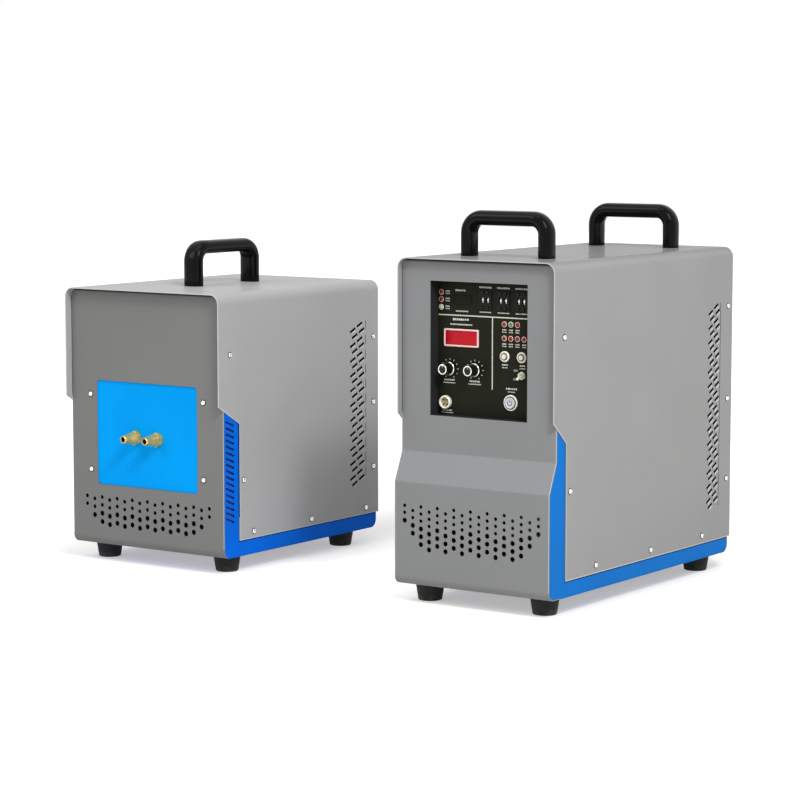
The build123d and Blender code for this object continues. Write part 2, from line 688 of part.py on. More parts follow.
def main_tray():
    """Floor and back wall of the power cabinet, cut for what the back carries."""
    tray = bent_tray(main_outline(), MAIN_WIDTH, MAIN_DEPTH, MAIN_TOP)
    inner = MAIN_BACK - 2 * SHEET
    tray -= extrude(front_plane(FAN_X, MAIN_DEPTH, LEVEL + FAN_Z) * guard_slots(), amount=4 * SHEET)
    tray -= block((BREAKER_X - BREAKER_WIDTH / 2 - FIT, BREAKER_X + BREAKER_WIDTH / 2 + FIT),
                  (inner, MAIN_DEPTH), (LEVEL + BREAKER_Z - BREAKER_NOSE / 2 - FIT,
                                        LEVEL + BREAKER_Z + BREAKER_NOSE / 2 + FIT))
    tray -= prism(GLAND_BODY + FIT, ROUND_SIDES, (GLAND_X, inner, LEVEL + GLAND_Z), REAR, 4 * SHEET)
    tray -= bolt_holes(main_foot_places(), 0, LEVEL + 2 * SHEET)
    return tray - port_holes(MAIN_PORTS, inner)


def head_tray():
    """Floor and back wall of the heating head, with holes for its hose ports."""
    tray = bent_tray(head_outline(), HEAD_WIDTH, HEAD_DEPTH, HEAD_TOP)
    tray -= bolt_holes(head_foot_places(), 0, LEVEL + 2 * SHEET)
    return tray - port_holes(HEAD_PORTS, HEAD_BACK - 2 * SHEET)


# ------------------------------------------------------------------ feet, handles, fasteners
def foot_places(width, front, rear):
    """(x, y) of the four feet of a case."""
    half = width / 2 - FOOT_FROM_SIDE
    return [(x, y) for y in (front, rear) for x in (-half, half)]


def main_foot_places():
    """(x, y) of the feet of the power cabinet."""
    return foot_places(MAIN_WIDTH, MAIN_FEET_FRONT, MAIN_DEPTH - MAIN_FEET_REAR)


def head_foot_places():
    """(x, y) of the feet of the heating head."""
    return foot_places(HEAD_WIDTH, HEAD_FEET_FRONT, HEAD_DEPTH - HEAD_FEET_REAR)


def feet(places):
    """Rubber feet, wider at the top, each hollowed below for its bolt's head."""
    solids = []
    for x, y in places:
        foot = tapered(FOOT_BOTTOM_RADIUS, FOOT_TOP_RADIUS, ROUND_SIDES, (x, y, 0), UP, FOOT_HEIGHT)
        foot -= prism(FOOT_HOLLOW, ROUND_SIDES, (x, y, 0), UP, FOOT_BOLT_DEPTH)
        solids.append(foot - bolt_holes([(x, y)], 0, FOOT_HEIGHT + 1))
    return group(solids)


def grip(ends, wide, rise, top):
    """A bow handle of oval section between two (x, y) ends, with a blind hole in each leg."""
    (x0, y0), (x1, y1) = ends
    height = top + rise - GRIP_THICK / 2
    path = FilletPolyline((x0, y0, top), (x0, y0, height), (x1, y1, height), (x1, y1, top),
                          radius=GRIP_BEND)
    along = Vector(x1 - x0, y1 - y0, 0).normalized()
    oval = scale(RegularPolygon(1, GRIP_SIDES), by=(GRIP_THICK / 2, wide / 2, 1))
    bow = sweep(Plane(origin=(x0, y0, top), x_dir=along, z_dir=UP) * oval, path=path)
    return bow - bolt_holes(ends, top, BOLT_GRIP)


def foot_bolt(x, y):
    """A bolt up through a foot and the floor of its case."""
    return bolt((x, y, FOOT_BOLT_DEPTH), UP, FOOT_HEIGHT - FOOT_BOLT_DEPTH + SHEET + BOLT_BEYOND)


def main_fasteners():
    """Cover screws, handle bolts and foot bolts of the power cabinet."""
    seat = MAIN_WIDTH / 2
    solids = []
    for y, z in main_screw_places():
        solids += both_sides(pan_screw((seat, y, z), (1, 0, 0)))
    solids += [bolt((x, y, MAIN_TOP - SHEET), UP, SHEET + BOLT_GRIP - 1) for x, y in main_handle_bolts()]
    solids += [foot_bolt(x, y) for x, y in main_foot_places()]
    return group(solids)


def head_fasteners():
    """Cover screws, board screws, handle bolts and foot bolts of the heating head."""
    seat = HEAD_WIDTH / 2
    solids = []
    for y, z in head_screw_places():
        solids += both_sides(pan_screw((seat, y, z), (1, 0, 0)))
    solids += [pan_screw((x, HEAD_HOOD, z), FRONT) for x, z in board_screw_places()]
    solids += [bolt((x, y, HEAD_TOP - SHEET), UP, SHEET + BOLT_GRIP - 1) for x, y in head_handle_bolts()]
    solids += [foot_bolt(x, y) for x, y in head_foot_places()]
    return group(solids)


# ------------------------------------------------------------------ control box and panel
def on_panel(x, z, y=PANEL_Y):
    """A point on the control panel, from its middle."""
    return (x, y, WINDOW_Z + z)


def control_box():
    """The sunk box behind the window, with a flange against the front panel's back."""
    wide = WINDOW_WIDTH / 2
    high = WINDOW_HEIGHT / 2
    front = MAIN_HOOD + SHEET
    rear = PANEL_Y + PANEL_THICK
    z = (WINDOW_Z - high, WINDOW_Z + high)
    wall = block((-wide - BOX_WALL, wide + BOX_WALL), (front, rear), (z[0] - BOX_WALL, z[1] + BOX_WALL))
    flange = block((-wide - BOX_FLANGE, wide + BOX_FLANGE), (front, front + BOX_WALL),
                   (z[0] - BOX_FLANGE, z[1] + BOX_FLANGE))
    return wall + flange - block((-wide, wide), (0, 2 * rear), z)


def knob_places():
    """x of the two knobs."""
    return (KNOB_X - KNOB_PITCH / 2, KNOB_X + KNOB_PITCH / 2)


def lamp_places():
    """(x, z) of every lamp on the panel."""
    column_x, heights = LAMP_COLUMN
    places = [(column_x, z) for z in heights]
    for count, z in (UPPER_LAMPS, LOWER_LAMPS):
        places += [(LAMP_ROW_X + LAMP_ROW_PITCH * i, z) for i in range(count)]
    return places


def setter_places():
    """x of the three pushwheel setters."""
    return [SETTER_X + SETTER_PITCH * (i - 1) for i in range(len(SETTER_NAMES))]


def control_panel():
    """The panel plate with a hole for each thing that it carries."""
    wide = WINDOW_WIDTH / 2 - FIT
    high = WINDOW_HEIGHT / 2 - FIT
    rear = PANEL_Y + PANEL_THICK
    plate = block((-wide, wide), (PANEL_Y, rear), (WINDOW_Z - high, WINDOW_Z + high))
    through = 3 * PANEL_THICK
    start = PANEL_Y - PANEL_THICK
    plate -= [prism(LAMP_RADIUS + RUN, LAMP_SIDES, on_panel(x, z, start), REAR, through)
              for x, z in lamp_places()]
    holes = [(x, KNOB_Z, SPINDLE) for x in knob_places()]
    holes += [(x, KEY_BUTTON_Z, BUTTON_BARREL) for x in KEY_BUTTON_X]
    holes += [(POWER_X, POWER_Z, POWER_BARREL), (TOGGLE_X, TOGGLE_Z, TOGGLE_BUSH),
              (SOCKET_X, SOCKET_Z, SOCKET_BODY)]
    plate -= [rod(radius + RUN, on_panel(x, z, start), REAR, through) for x, z, radius in holes]
    for x, z, width, height in ((METER_X, METER_Z, METER_WIDTH, METER_HEIGHT),
                                (TIMER_X, TIMER_Z, TIMER_WIDTH, TIMER_HEIGHT)):
        half_x = width / 2 - METER_BORDER + FIT
        half_z = height / 2 - METER_BORDER + FIT
        plate -= block((x - half_x, x + half_x), (start, rear + 1),
                       (WINDOW_Z + z - half_z, WINDOW_Z + z + half_z))
    for x in setter_places():
        half_x = SETTER_WIDTH / 2 - 1 + FIT
        half_z = SETTER_HEIGHT / 2 - 1 + FIT
        plate -= block((x - half_x, x + half_x), (start, rear + 1),
                       (WINDOW_Z + SETTER_Z - half_z, WINDOW_Z + SETTER_Z + half_z))
    return plate


def meter_bezel():
    """Raised frame round the current meter, bevelled towards its window."""
    face = front_plane(*on_panel(METER_X, METER_Z))
    top = face.offset(METER_PROUD)
    edge = 2 * METER_BEVEL
    rim = loft([face * Rectangle(METER_WIDTH, METER_HEIGHT),
                top * Rectangle(METER_WIDTH - edge, METER_HEIGHT - edge)], ruled=True)
    inner = Rectangle(METER_WIDTH - 2 * METER_BORDER, METER_HEIGHT - 2 * METER_BORDER)
    return rim - extrude(face.offset(-1) * inner, amount=METER_PROUD + 2)


def display_windows():
    """The red window of the meter and the smoked window of the timer."""
    panes = []
    for x, z, width, height, proud in ((METER_X, METER_Z, METER_WIDTH, METER_HEIGHT, METER_PROUD - 0.6),
                                       (TIMER_X, TIMER_Z, TIMER_WIDTH, TIMER_HEIGHT, 0.6)):
        half_x = width / 2 - METER_BORDER - FIT / 2
        half_z = height / 2 - METER_BORDER - FIT / 2
        panes.append(block((x - half_x, x + half_x), (PANEL_Y - proud, PANEL_Y + LENS_THICK),
                           (WINDOW_Z + z - half_z, WINDOW_Z + z + half_z)))
    return group(panes)


def indicator_lamps():
    """Lamps with a bevelled lens, each in a collar on the panel."""
    solids = []
    for x, z in lamp_places():
        lamp = prism(LAMP_RADIUS, LAMP_SIDES, on_panel(x, z, PANEL_Y + LAMP_DEPTH), FRONT, LAMP_DEPTH)
        lamp += prism(LAMP_COLLAR, LAMP_SIDES, on_panel(x, z), FRONT, LAMP_COLLAR_THICK)
        lens_from = on_panel(x, z, PANEL_Y - LAMP_COLLAR_THICK)
        solids.append(lamp + prism(LAMP_RADIUS, LAMP_SIDES, lens_from, FRONT, LAMP_PROUD, LAMP_BEVEL))
    return group(solids)


def knob(x):
    """A knob with a skirt, a taller cap and a pointer groove, on its spindle."""
    rear = PANEL_Y + PANEL_THICK + SPINDLE_DEPTH
    body = rod(SPINDLE, on_panel(x, KNOB_Z, rear), FRONT, rear - PANEL_Y + KNOB_GAP)
    body += prism(KNOB_SKIRT, ROUND_SIDES, on_panel(x, KNOB_Z, PANEL_Y - KNOB_GAP), FRONT, KNOB_SKIRT_THICK)
    cap_from = PANEL_Y - KNOB_GAP - KNOB_SKIRT_THICK
    cap_length = KNOB_HEIGHT - KNOB_GAP - KNOB_SKIRT_THICK
    body += tapered(KNOB_CAP, KNOB_TOP, ROUND_SIDES, on_panel(x, KNOB_Z, cap_from), FRONT, cap_length)
    groove = block((x - 0.6, x + 0.6), (PANEL_Y - KNOB_HEIGHT - 1, PANEL_Y - KNOB_HEIGHT + 0.8),
                   (WINDOW_Z + KNOB_Z, WINDOW_Z + KNOB_Z + KNOB_CAP + 1))
    return body - groove


def collar(x, z, rim, barrel, bore):
    """A push button's collar: rim before the panel, barrel through it, bored for the button."""
    rear = PANEL_Y + PANEL_THICK + BARREL_DEPTH
    length = rear - PANEL_Y + BUTTON_PROUD
    ring = prism(rim, ROUND_SIDES, on_panel(x, z), FRONT, BUTTON_PROUD, COLLAR_BEVEL)
    ring += rod(barrel, on_panel(x, z, rear), FRONT, length)
    return ring - rod(bore, on_panel(x, z, rear), FRONT, length)


def toggle_bush():
    """Nut and threaded bush of the toggle switch, with a mouth that lets its lever swing."""
    profile = [(TOGGLE_BORE, -PANEL_THICK - TOGGLE_DEPTH), (TOGGLE_BUSH, -PANEL_THICK - TOGGLE_DEPTH),
               (TOGGLE_BUSH, TOGGLE_PROUD), (TOGGLE_BUSH - 0.7, TOGGLE_PROUD), (TOGGLE_BORE, 1.5)]
    place = on_panel(TOGGLE_X, TOGGLE_Z)
    nut = prism(TOGGLE_NUT, 6, place, FRONT, TOGGLE_NUT_THICK)
    return nut - rod(TOGGLE_BORE, place, FRONT, TOGGLE_NUT_THICK) + turned(profile, place, FRONT)


def switch_collars():
    """Metal collars of the start, stop and power buttons and of the toggle switch."""
    solids = [collar(x, KEY_BUTTON_Z, BUTTON_COLLAR, BUTTON_BARREL, BUTTON_RADIUS + RUN)
              for x in KEY_BUTTON_X]
    solids.append(collar(POWER_X, POWER_Z, POWER_COLLAR, POWER_BARREL, POWER_RADIUS + RUN))
    solids.append(toggle_bush())
    return group(solids)


def push_button(x, z, radius):
    """A round button, sliding in its collar."""
    rear = PANEL_Y + PANEL_THICK + BUTTON_DEPTH
    return rod(radius, on_panel(x, z, rear), FRONT, rear - PANEL_Y + BUTTON_PROUD + BUTTON_BEYOND)


def toggle_lever():
    """The toggle's lever, thicker at its tip, tilted down from its pin."""
    tilt = radians(TOGGLE_TILT)
    pivot = on_panel(TOGGLE_X, TOGGLE_Z)
    lever = tapered(TOGGLE_ROOT, TOGGLE_TIP, LAMP_SIDES, pivot, (0, -cos(tilt), -sin(tilt)), TOGGLE_REACH)
    pin_from = (TOGGLE_X - TOGGLE_PIN_LENGTH / 2, pivot[1], pivot[2])
    return lever + rod(TOGGLE_PIN, pin_from, (1, 0, 0), TOGGLE_PIN_LENGTH)


def remote_socket():
    """Four-pin socket: a shell with a rim on the panel, and pins standing in its cup."""
    rear = PANEL_Y + PANEL_THICK + SOCKET_DEPTH
    socket = rod(SOCKET_BODY, on_panel(SOCKET_X, SOCKET_Z, rear), FRONT, rear - PANEL_Y)
    socket += prism(SOCKET_RADIUS, ROUND_SIDES, on_panel(SOCKET_X, SOCKET_Z), FRONT, SOCKET_PROUD)
    socket -= rod(SOCKET_BORE, on_panel(SOCKET_X, SOCKET_Z), FRONT, SOCKET_PROUD)
    for i in range(SOCKET_PINS):
        angle = 2 * pi * (i + 0.5) / SOCKET_PINS
        x = SOCKET_X + SOCKET_PIN_CIRCLE * cos(angle)
        z = SOCKET_Z + SOCKET_PIN_CIRCLE * sin(angle)
        socket += prism(SOCKET_PIN, HOLE_SIDES, on_panel(x, z), FRONT, SOCKET_PROUD - 1)
    return socket


# ------------------------------------------------------------------ pushwheel setters
def setter_front():
    """y of the setters' face."""
    return PANEL_Y - SETTER_PROUD


def digit_places():
    """(name, x) of every digit wheel."""
    places = []
    for setter, x in zip(SETTER_NAMES, setter_places()):
        for digit, side in zip(DIGIT_NAMES, (-0.5, 0.5)):
            places.append((f"{setter}_{digit}", x + side * DIGIT_PITCH))
    return places


def setter_housing(x):
    """One setter's housing: rim on the panel, body through it, a chamber and an axle for its wheels."""
    front = setter_front()
    axle_y = front + WHEEL_SETBACK
    z = WINDOW_Z + SETTER_Z
    half_x = SETTER_WIDTH / 2
    half_z = SETTER_HEIGHT / 2
    rear = axle_y + WHEEL_RADIUS + WHEEL_GAP + 1.5
    body = block((x - half_x, x + half_x), (front, PANEL_Y), (z - half_z, z + half_z))
    body += block((x - half_x + 1, x + half_x - 1), (PANEL_Y, rear), (z - half_z + 1, z + half_z - 1))
    window_x, window_z = DIGIT_WINDOW
    key = KEY_SIZE / 2 + SLIDE
    for side in (-0.5, 0.5):
        middle = x + side * DIGIT_PITCH
        chamber = WHEEL_WIDTH / 2 + WHEEL_GAP
        reach = WHEEL_RADIUS + WHEEL_GAP
        body -= block((middle - chamber, middle + chamber), (axle_y - reach, axle_y + reach),
                      (z - reach, z + reach))
        body -= block((middle - window_x / 2, middle + window_x / 2), (front - 1, axle_y),
                      (z - window_z / 2, z + window_z / 2))
        for key_z in (z - KEY_REACH, z + KEY_REACH):
            body -= block((middle - key, middle + key),
                          (front - 1, front + KEY_LENGTH - KEY_PROUD + KEY_TRAVEL + WHEEL_GAP),
                          (key_z - key, key_z + key))
    return body + rod(WHEEL_AXLE, (x - half_x + 1, axle_y, z), (1, 0, 0), SETTER_WIDTH - 2)


def digit_wheel(x):
    """A ten-sided wheel, bored for the axle, one flat face to the window."""
    width = WHEEL_WIDTH / 2
    centre = (0, setter_front() + WHEEL_SETBACK, WINDOW_Z + SETTER_Z)
    plane = Plane(origin=centre, x_dir=REAR, z_dir=(1, 0, 0))
    face = plane * Rot(0, 0, 18) * RegularPolygon(WHEEL_RADIUS, 10)
    wheel = extrude(face, amount=width, both=True)
    wheel -= rod(WHEEL_AXLE + RUN, (-width - 1, centre[1], centre[2]), (1, 0, 0), 2 * width + 2)
    return Pos(x, 0, 0) * wheel


def digit_key(x, reach):
    """A square key above or below a digit."""
    half = KEY_SIZE / 2
    z = WINDOW_Z + SETTER_Z + reach
    front = setter_front() - KEY_PROUD
    return block((x - half, x + half), (front, front + KEY_LENGTH), (z - half, z + half))


# ------------------------------------------------------------------ back of the power cabinet
def hose_port(x, z, back):
    """A brass port: nut against the back wall, ridged barb outside, threaded stub inside."""
    inner = back - SHEET - PORT_INSIDE
    port = prism(PORT_THREAD, HOSE_SIDES, (x, inner, z), REAR, SHEET + PORT_INSIDE)
    port += prism(PORT_NUT, 6, (x, back, z), REAR, PORT_NUT_THICK)
    ridge = (PORT_LENGTH - PORT_NUT_THICK) / PORT_RIDGES
    for i in range(PORT_RIDGES):
        ridge_from = (x, back + PORT_NUT_THICK + ridge * i, z)
        port += prism(PORT_BARB, HOSE_SIDES, ridge_from, REAR, ridge, PORT_RIDGE)
    return port - prism(PORT_BORE, HOLE_SIDES, (x, inner, z), REAR, 2 * PORT_LENGTH)


def port_holes(places, inner):
    """Cutters for the hose ports in a back wall."""
    return [prism(PORT_THREAD + FIT, HOSE_SIDES, (x, inner, LEVEL + z), REAR, 4 * SHEET) for x, z in places]


def hose_ports(places, back):
    """All hose ports of a case."""
    return group(hose_port(x, LEVEL + z, back) for x, z in places)


def cable_gland():
    """Gland of the mains cable, bored through."""
    z = LEVEL + GLAND_Z
    inner = MAIN_BACK - SHEET - GLAND_INSIDE
    shoulder = MAIN_BACK + GLAND_NUT_THICK
    gland = prism(GLAND_BODY, ROUND_SIDES, (GLAND_X, inner, z), REAR, SHEET + GLAND_INSIDE)
    gland += prism(GLAND_NUT, 6, (GLAND_X, MAIN_BACK, z), REAR, GLAND_NUT_THICK)
    gland += tapered(GLAND_BODY, GLAND_TIP, ROUND_SIDES, (GLAND_X, shoulder, z), REAR,
                     GLAND_LENGTH - GLAND_NUT_THICK)
    return gland - rod(GLAND_BORE, (GLAND_X, inner, z), REAR, 2 * GLAND_LENGTH)


def breaker_axis():
    """(y, z) of the breaker lever's pin."""
    return MAIN_BACK + BREAKER_NOSE_PROUD - BREAKER_LEVER_RADIUS - 1, LEVEL + BREAKER_Z


def mains_breaker():
    """Three-pole breaker: case behind the back wall, raised middle through it, slot for the lever."""
    half = BREAKER_WIDTH / 2
    front = MAIN_BACK - SHEET
    z = LEVEL + BREAKER_Z
    x = (BREAKER_X - half, BREAKER_X + half)
    nose = (z - BREAKER_NOSE / 2, z + BREAKER_NOSE / 2)
    case = block(x, (front - BREAKER_DEPTH, front), (z - BREAKER_HEIGHT / 2, z + BREAKER_HEIGHT / 2))
    case += block(x, (front - 1, MAIN_BACK + BREAKER_NOSE_PROUD), nose)
    axis_y, axis_z = breaker_axis()
    wide = BREAKER_LEVER_WIDTH / 2 + WHEEL_GAP
    slot = rod(BREAKER_LEVER_RADIUS + WHEEL_GAP, (BREAKER_X - wide, axis_y, axis_z), (1, 0, 0), 2 * wide)
    slot += block((BREAKER_X - wide, BREAKER_X + wide), (axis_y, MAIN_BACK + BREAKER_NOSE_PROUD + 1),
                  (axis_z - BREAKER_LEVER_RADIUS - WHEEL_GAP, axis_z + BREAKER_LEVER_RADIUS + WHEEL_GAP))
    return case - slot


def breaker_lever():
    """The breaker's lever: a drum across the poles with a paddle, resting down in its off position."""
    axis_y, axis_z = breaker_axis()
    half = BREAKER_LEVER_WIDTH / 2
    drum = rod(BREAKER_LEVER_RADIUS, (-half, 0, 0), (1, 0, 0), 2 * half)
    paddle = block((-half, half), (0, BREAKER_LEVER_RADIUS + BREAKER_LEVER_REACH), (-2, 2))
    return Pos(BREAKER_X, axis_y, axis_z) * Rot(-BREAKER_THROW / 2, 0, 0) * (drum + paddle)


def fan_frame():
    """Square fan frame against the back wall, its motor plate and pin held by four spokes."""
    rear = MAIN_BACK - SHEET
    z = LEVEL + FAN_Z
    half = FAN_SIZE / 2
    frame = block((FAN_X - half, FAN_X + half), (rear - FAN_DEPTH, rear), (z - half, z + half))
    frame -= rod(FAN_BORE, (FAN_X, rear - FAN_DEPTH, z), REAR, FAN_DEPTH)
    spider = Circle(FAN_HUB)
    for i in range(FAN_GUARD_SPOKES):
        turn = Rot(0, 0, 45 + 360 / FAN_GUARD_SPOKES * i)
        spider += turn * Pos(FAN_BORE / 2, 0) * Rectangle(FAN_BORE + 2, 2 * FAN_GUARD_WIDTH)
    frame += extrude(front_plane(FAN_X, rear - FAN_DEPTH + FAN_SPIDER, z) * spider, amount=FAN_SPIDER)
    return frame + rod(FAN_PIN, (FAN_X, rear - FAN_DEPTH, z), REAR, FAN_SPIDER + FAN_GAP + FAN_PIN_LENGTH)


def fan_rotor():
    """Hub with slanted blades, bored for the motor's pin."""
    front = MAIN_BACK - SHEET - FAN_DEPTH + FAN_SPIDER + FAN_GAP
    length = FAN_DEPTH - FAN_SPIDER - 2 * FAN_GAP
    hub = Cylinder(FAN_HUB, length, align=FROM_BASE)
    blade_middle = Pos((FAN_HUB + FAN_ROTOR) / 2, 0, length / 2)
    blade = blade_middle * Rot(FAN_PITCH, 0, 0) * Box(FAN_ROTOR - FAN_HUB + 4, FAN_BLADE_THICK, length)
    hub += [Rot(0, 0, 360 / FAN_BLADES * i) * blade for i in range(FAN_BLADES)]
    hub &= Cylinder(FAN_ROTOR, length, align=FROM_BASE)
    hub -= Cylinder(FAN_PIN + RUN, FAN_PIN_LENGTH + 1, align=FROM_BASE)
    return Plane(origin=(FAN_X, front, LEVEL + FAN_Z), z_dir=REAR) * hub


# ------------------------------------------------------------------ inside the power cabinet
def inverter_block():
    """Water-cooled plate on four standoffs, with the power modules on it."""
    floor = LEVEL + SHEET
    wide, deep, thick = COLD_PLATE
    low = floor + STANDOFF_HEIGHT
    rear = COLD_PLATE_FRONT + deep
    solids = [block((-wide / 2, wide / 2), (COLD_PLATE_FRONT, rear), (low, low + thick))]
    for x in (-wide / 2 + 12, wide / 2 - 12):
        for y in (COLD_PLATE_FRONT + 12, rear - 12):
            solids.append(rod(STANDOFF_RADIUS, (x, y, floor), UP, STANDOFF_HEIGHT))
    module_x, module_y, module_z = MODULE
    for i in range(MODULES):
        y = COLD_PLATE_FRONT + deep / 2 + MODULE_PITCH * (i - (MODULES - 1) / 2)
        solids.append(block((-module_x / 2, module_x / 2), (y - module_y / 2, y + module_y / 2),
                            (low + thick, low + thick + module_z)))
    return group(solids)


def control_board():
    """Circuit board behind the panel, carried by the two potentiometers of the knobs."""
    wide, high, thick = BOARD_PCB
    panel_rear = PANEL_Y + PANEL_THICK
    setter_rear = setter_front() + WHEEL_SETBACK + WHEEL_RADIUS + WHEEL_GAP + 1.5
    front = max(setter_rear, panel_rear + BARREL_DEPTH) + PCB_GAP
    z = (WINDOW_Z - high / 2, WINDOW_Z + high / 2)
    solids = [block((-wide / 2, wide / 2), (front, front + thick), z)]
    for x in knob_places():
        body = rod(POT_RADIUS, on_panel(x, KNOB_Z, panel_rear), REAR, front - panel_rear)
        body -= rod(SPINDLE + RUN, on_panel(x, KNOB_Z, panel_rear), REAR, SPINDLE_DEPTH + 1)
        solids.append(body)
    return group(solids)


# ------------------------------------------------------------------ heating head
def coil_board():
    """Insulating board behind the front's opening, drilled for the connectors and its screws."""
    wide, high = BOARD_OPENING
    outline = RectangleRounded(wide + 2 * BOARD_MARGIN, high + BOARD_MARGIN, BOARD_OPENING_CORNER)
    board = extrude(front_plane(0, BOARD_Y + BOARD_THICK, BOARD_Z) * outline, amount=BOARD_THICK)
    board -= [screw_hole((x, 0, z), REAR, 3 * BOARD_Y) for x, z in board_screw_places()]
    for x in (-CONNECTOR_PITCH / 2, CONNECTOR_PITCH / 2):
        board -= rod(CONNECTOR_BODY + RUN, (x, 0, CONNECTOR_Z), REAR, 3 * BOARD_Y)
    return board


def coil_connector(x):
    """Brass connector: hexagon against the board, turned tip for the coil's tube, bored from the front."""
    rear = BOARD_Y + BOARD_THICK + CONNECTOR_TAIL
    tip = BOARD_Y - SHEET - CONNECTOR_REACH
    nut_front = BOARD_Y - CONNECTOR_NUT_LENGTH
    body = rod(CONNECTOR_BODY, (x, rear, CONNECTOR_Z), FRONT, rear - nut_front)
    body += prism(CONNECTOR_NUT, 6, (x, BOARD_Y, CONNECTOR_Z), FRONT, CONNECTOR_NUT_LENGTH)
    body &= turned([(0, 0), (CONNECTOR_NUT, 0), (CONNECTOR_NUT, rear - nut_front - 1),
                    (CONNECTOR_NUT - 2, rear - nut_front), (0, rear - nut_front)],
                   (x, rear, CONNECTOR_Z), FRONT)
    body += rod(CONNECTOR_TIP, (x, nut_front, CONNECTOR_Z), FRONT, nut_front - tip)
    bore_from = (x, tip + CONNECTOR_BORE_DEPTH, CONNECTOR_Z)
    return body - rod(CONNECTOR_BORE, bore_from, FRONT, CONNECTOR_BORE_DEPTH)


def coil_connectors():
    """The pair of connectors for the melting coil."""
    return group(coil_connector(x) for x in (-CONNECTOR_PITCH / 2, CONNECTOR_PITCH / 2))


def transformer():
    """Ferrite core on two feet, its winding, and the copper bars to the connectors."""
    wide, deep, high = CORE
    window_x, window_z = CORE_WINDOW
    z = CONNECTOR_Z
    floor = LEVEL + SHEET
    rear = CORE_FRONT + deep
    sill = z - window_z / 2
    core = block((-wide / 2, wide / 2), (CORE_FRONT, rear), (z - high / 2, z + high / 2))
    core -= block((-window_x / 2, window_x / 2), (CORE_FRONT - 1, rear + 1), (sill, sill + window_z))
    solids = [core]
    for x in (-wide / 2 + 12, wide / 2 - 12):
        solids.append(block((x - 12, x + 12), (CORE_FRONT, rear), (floor, z - high / 2)))
    lintel = sill + window_z
    top = z + high / 2
    wall = WINDING_WALL
    winding = block((-window_x / 2 + FIT, window_x / 2 - FIT), (CORE_FRONT - wall, rear + wall),
                    (lintel - wall, top + wall))
    solids.append(winding - block((-wide, wide), (CORE_FRONT - FIT, rear + FIT), (lintel - FIT, top + FIT)))
    tail = BOARD_Y + BOARD_THICK + CONNECTOR_TAIL
    for side in (-1, 1):
        x = side * CONNECTOR_PITCH / 2
        half = BUS_WIDTH / 2
        lug = block((x - half, x + half), (tail, tail + BUS_THICK), (sill, z + half))
        arm = block((x - half, x + half), (tail, CORE_FRONT + deep / 2), (sill, sill + BUS_THICK))
        solids.append(lug + arm)
    return group(solids)


def capacitor_bank():
    """A row of resonant capacitors on the floor, joined by a copper strip."""
    wide, deep, high = CAPACITOR
    floor = LEVEL + SHEET
    middle = CAPACITOR_FRONT + deep / 2
    row = CAPACITOR_PITCH * (CAPACITORS - 1) + wide
    z = (floor, floor + high)
    solids = [block((-row / 2, row / 2), (middle - BUS_WIDTH / 2, middle + BUS_WIDTH / 2),
                    (z[1], z[1] + BUS_THICK))]
    for i in range(CAPACITORS):
        x = CAPACITOR_PITCH * i - (row - wide) / 2
        solids.append(block((x - wide / 2, x + wide / 2), (middle - deep / 2, middle + deep / 2), z))
    return group(solids)


# ------------------------------------------------------------------ the whole
def main_nodes():
    """Every node of the power cabinet, in the cabinet's own frame."""
    bolts = main_handle_bolts()
    nodes = {
        "main_cover": main_cover(),
        "main_front_panel": main_front_panel(),
        "main_tray": main_tray(),
        "main_side_plates": main_side_plates(),
        "main_front_handle": grip(bolts[:2], MAIN_GRIP_WIDE, MAIN_HANDLE_RISE, MAIN_TOP),
        "main_rear_handle": grip(bolts[2:], MAIN_GRIP_WIDE, MAIN_HANDLE_RISE, MAIN_TOP),
        "main_feet": feet(main_foot_places()),
        "main_fasteners": main_fasteners(),
        "control_box": control_box(),
        "control_panel": control_panel(),
        "meter_bezel": meter_bezel(),
        "display_windows": display_windows(),
        "indicator_lamps": indicator_lamps(),
        "heat_power_knob": knob(knob_places()[0]),
        "hold_power_knob": knob(knob_places()[1]),
        "switch_collars": switch_collars(),
        "start_button": push_button(KEY_BUTTON_X[0], KEY_BUTTON_Z, BUTTON_RADIUS),
        "stop_button": push_button(KEY_BUTTON_X[1], KEY_BUTTON_Z, BUTTON_RADIUS),
        "power_button": push_button(POWER_X, POWER_Z, POWER_RADIUS),
        "toggle_lever": toggle_lever(),
        "remote_socket": remote_socket(),
        "setter_housings": group(setter_housing(x) for x in setter_places()),
        "mains_breaker": mains_breaker(),
        "breaker_lever": breaker_lever(),
        "fan_frame": fan_frame(),
        "fan_rotor": fan_rotor(),
        "main_hose_ports": hose_ports(MAIN_PORTS, MAIN_BACK),
        "cable_gland": cable_gland(),
        "inverter_block": inverter_block(),
        "control_board": control_board(),
    }
    for name, x in digit_places():
        nodes[f"{name}_wheel"] = digit_wheel(x)
        nodes[f"{name}_plus_key"] = digit_key(x, KEY_REACH)
        nodes[f"{name}_minus_key"] = digit_key(x, -KEY_REACH)
    return nodes


def head_nodes():
    """Every node of the heating head, in the head's own frame."""
    return {
        "head_cover": head_cover(),
        "head_front_panel": head_front_panel(),
        "head_tray": head_tray(),
        "head_side_plates": head_side_plates(),
        "head_handle": grip(head_handle_bolts(), HEAD_GRIP_WIDE, HEAD_HANDLE_RISE, HEAD_TOP),
        "head_feet": feet(head_foot_places()),
        "head_fasteners": head_fasteners(),
        "coil_board": coil_board(),
        "coil_connectors": coil_connectors(),
        "transformer": transformer(),
        "capacitor_bank": capacitor_bank(),
        "head_hose_ports": hose_ports(HEAD_PORTS, HEAD_BACK),
    }


def main():
    """Build every node in the pair's frame and write one file for each."""
    os.makedirs("parts", exist_ok=True)
    for place, nodes in ((MAIN_PLACE, main_nodes()), (HEAD_PLACE, head_nodes())):
        for name, shape in nodes.items():
            export_step(place * shape, f"parts/{name}.step")


main()
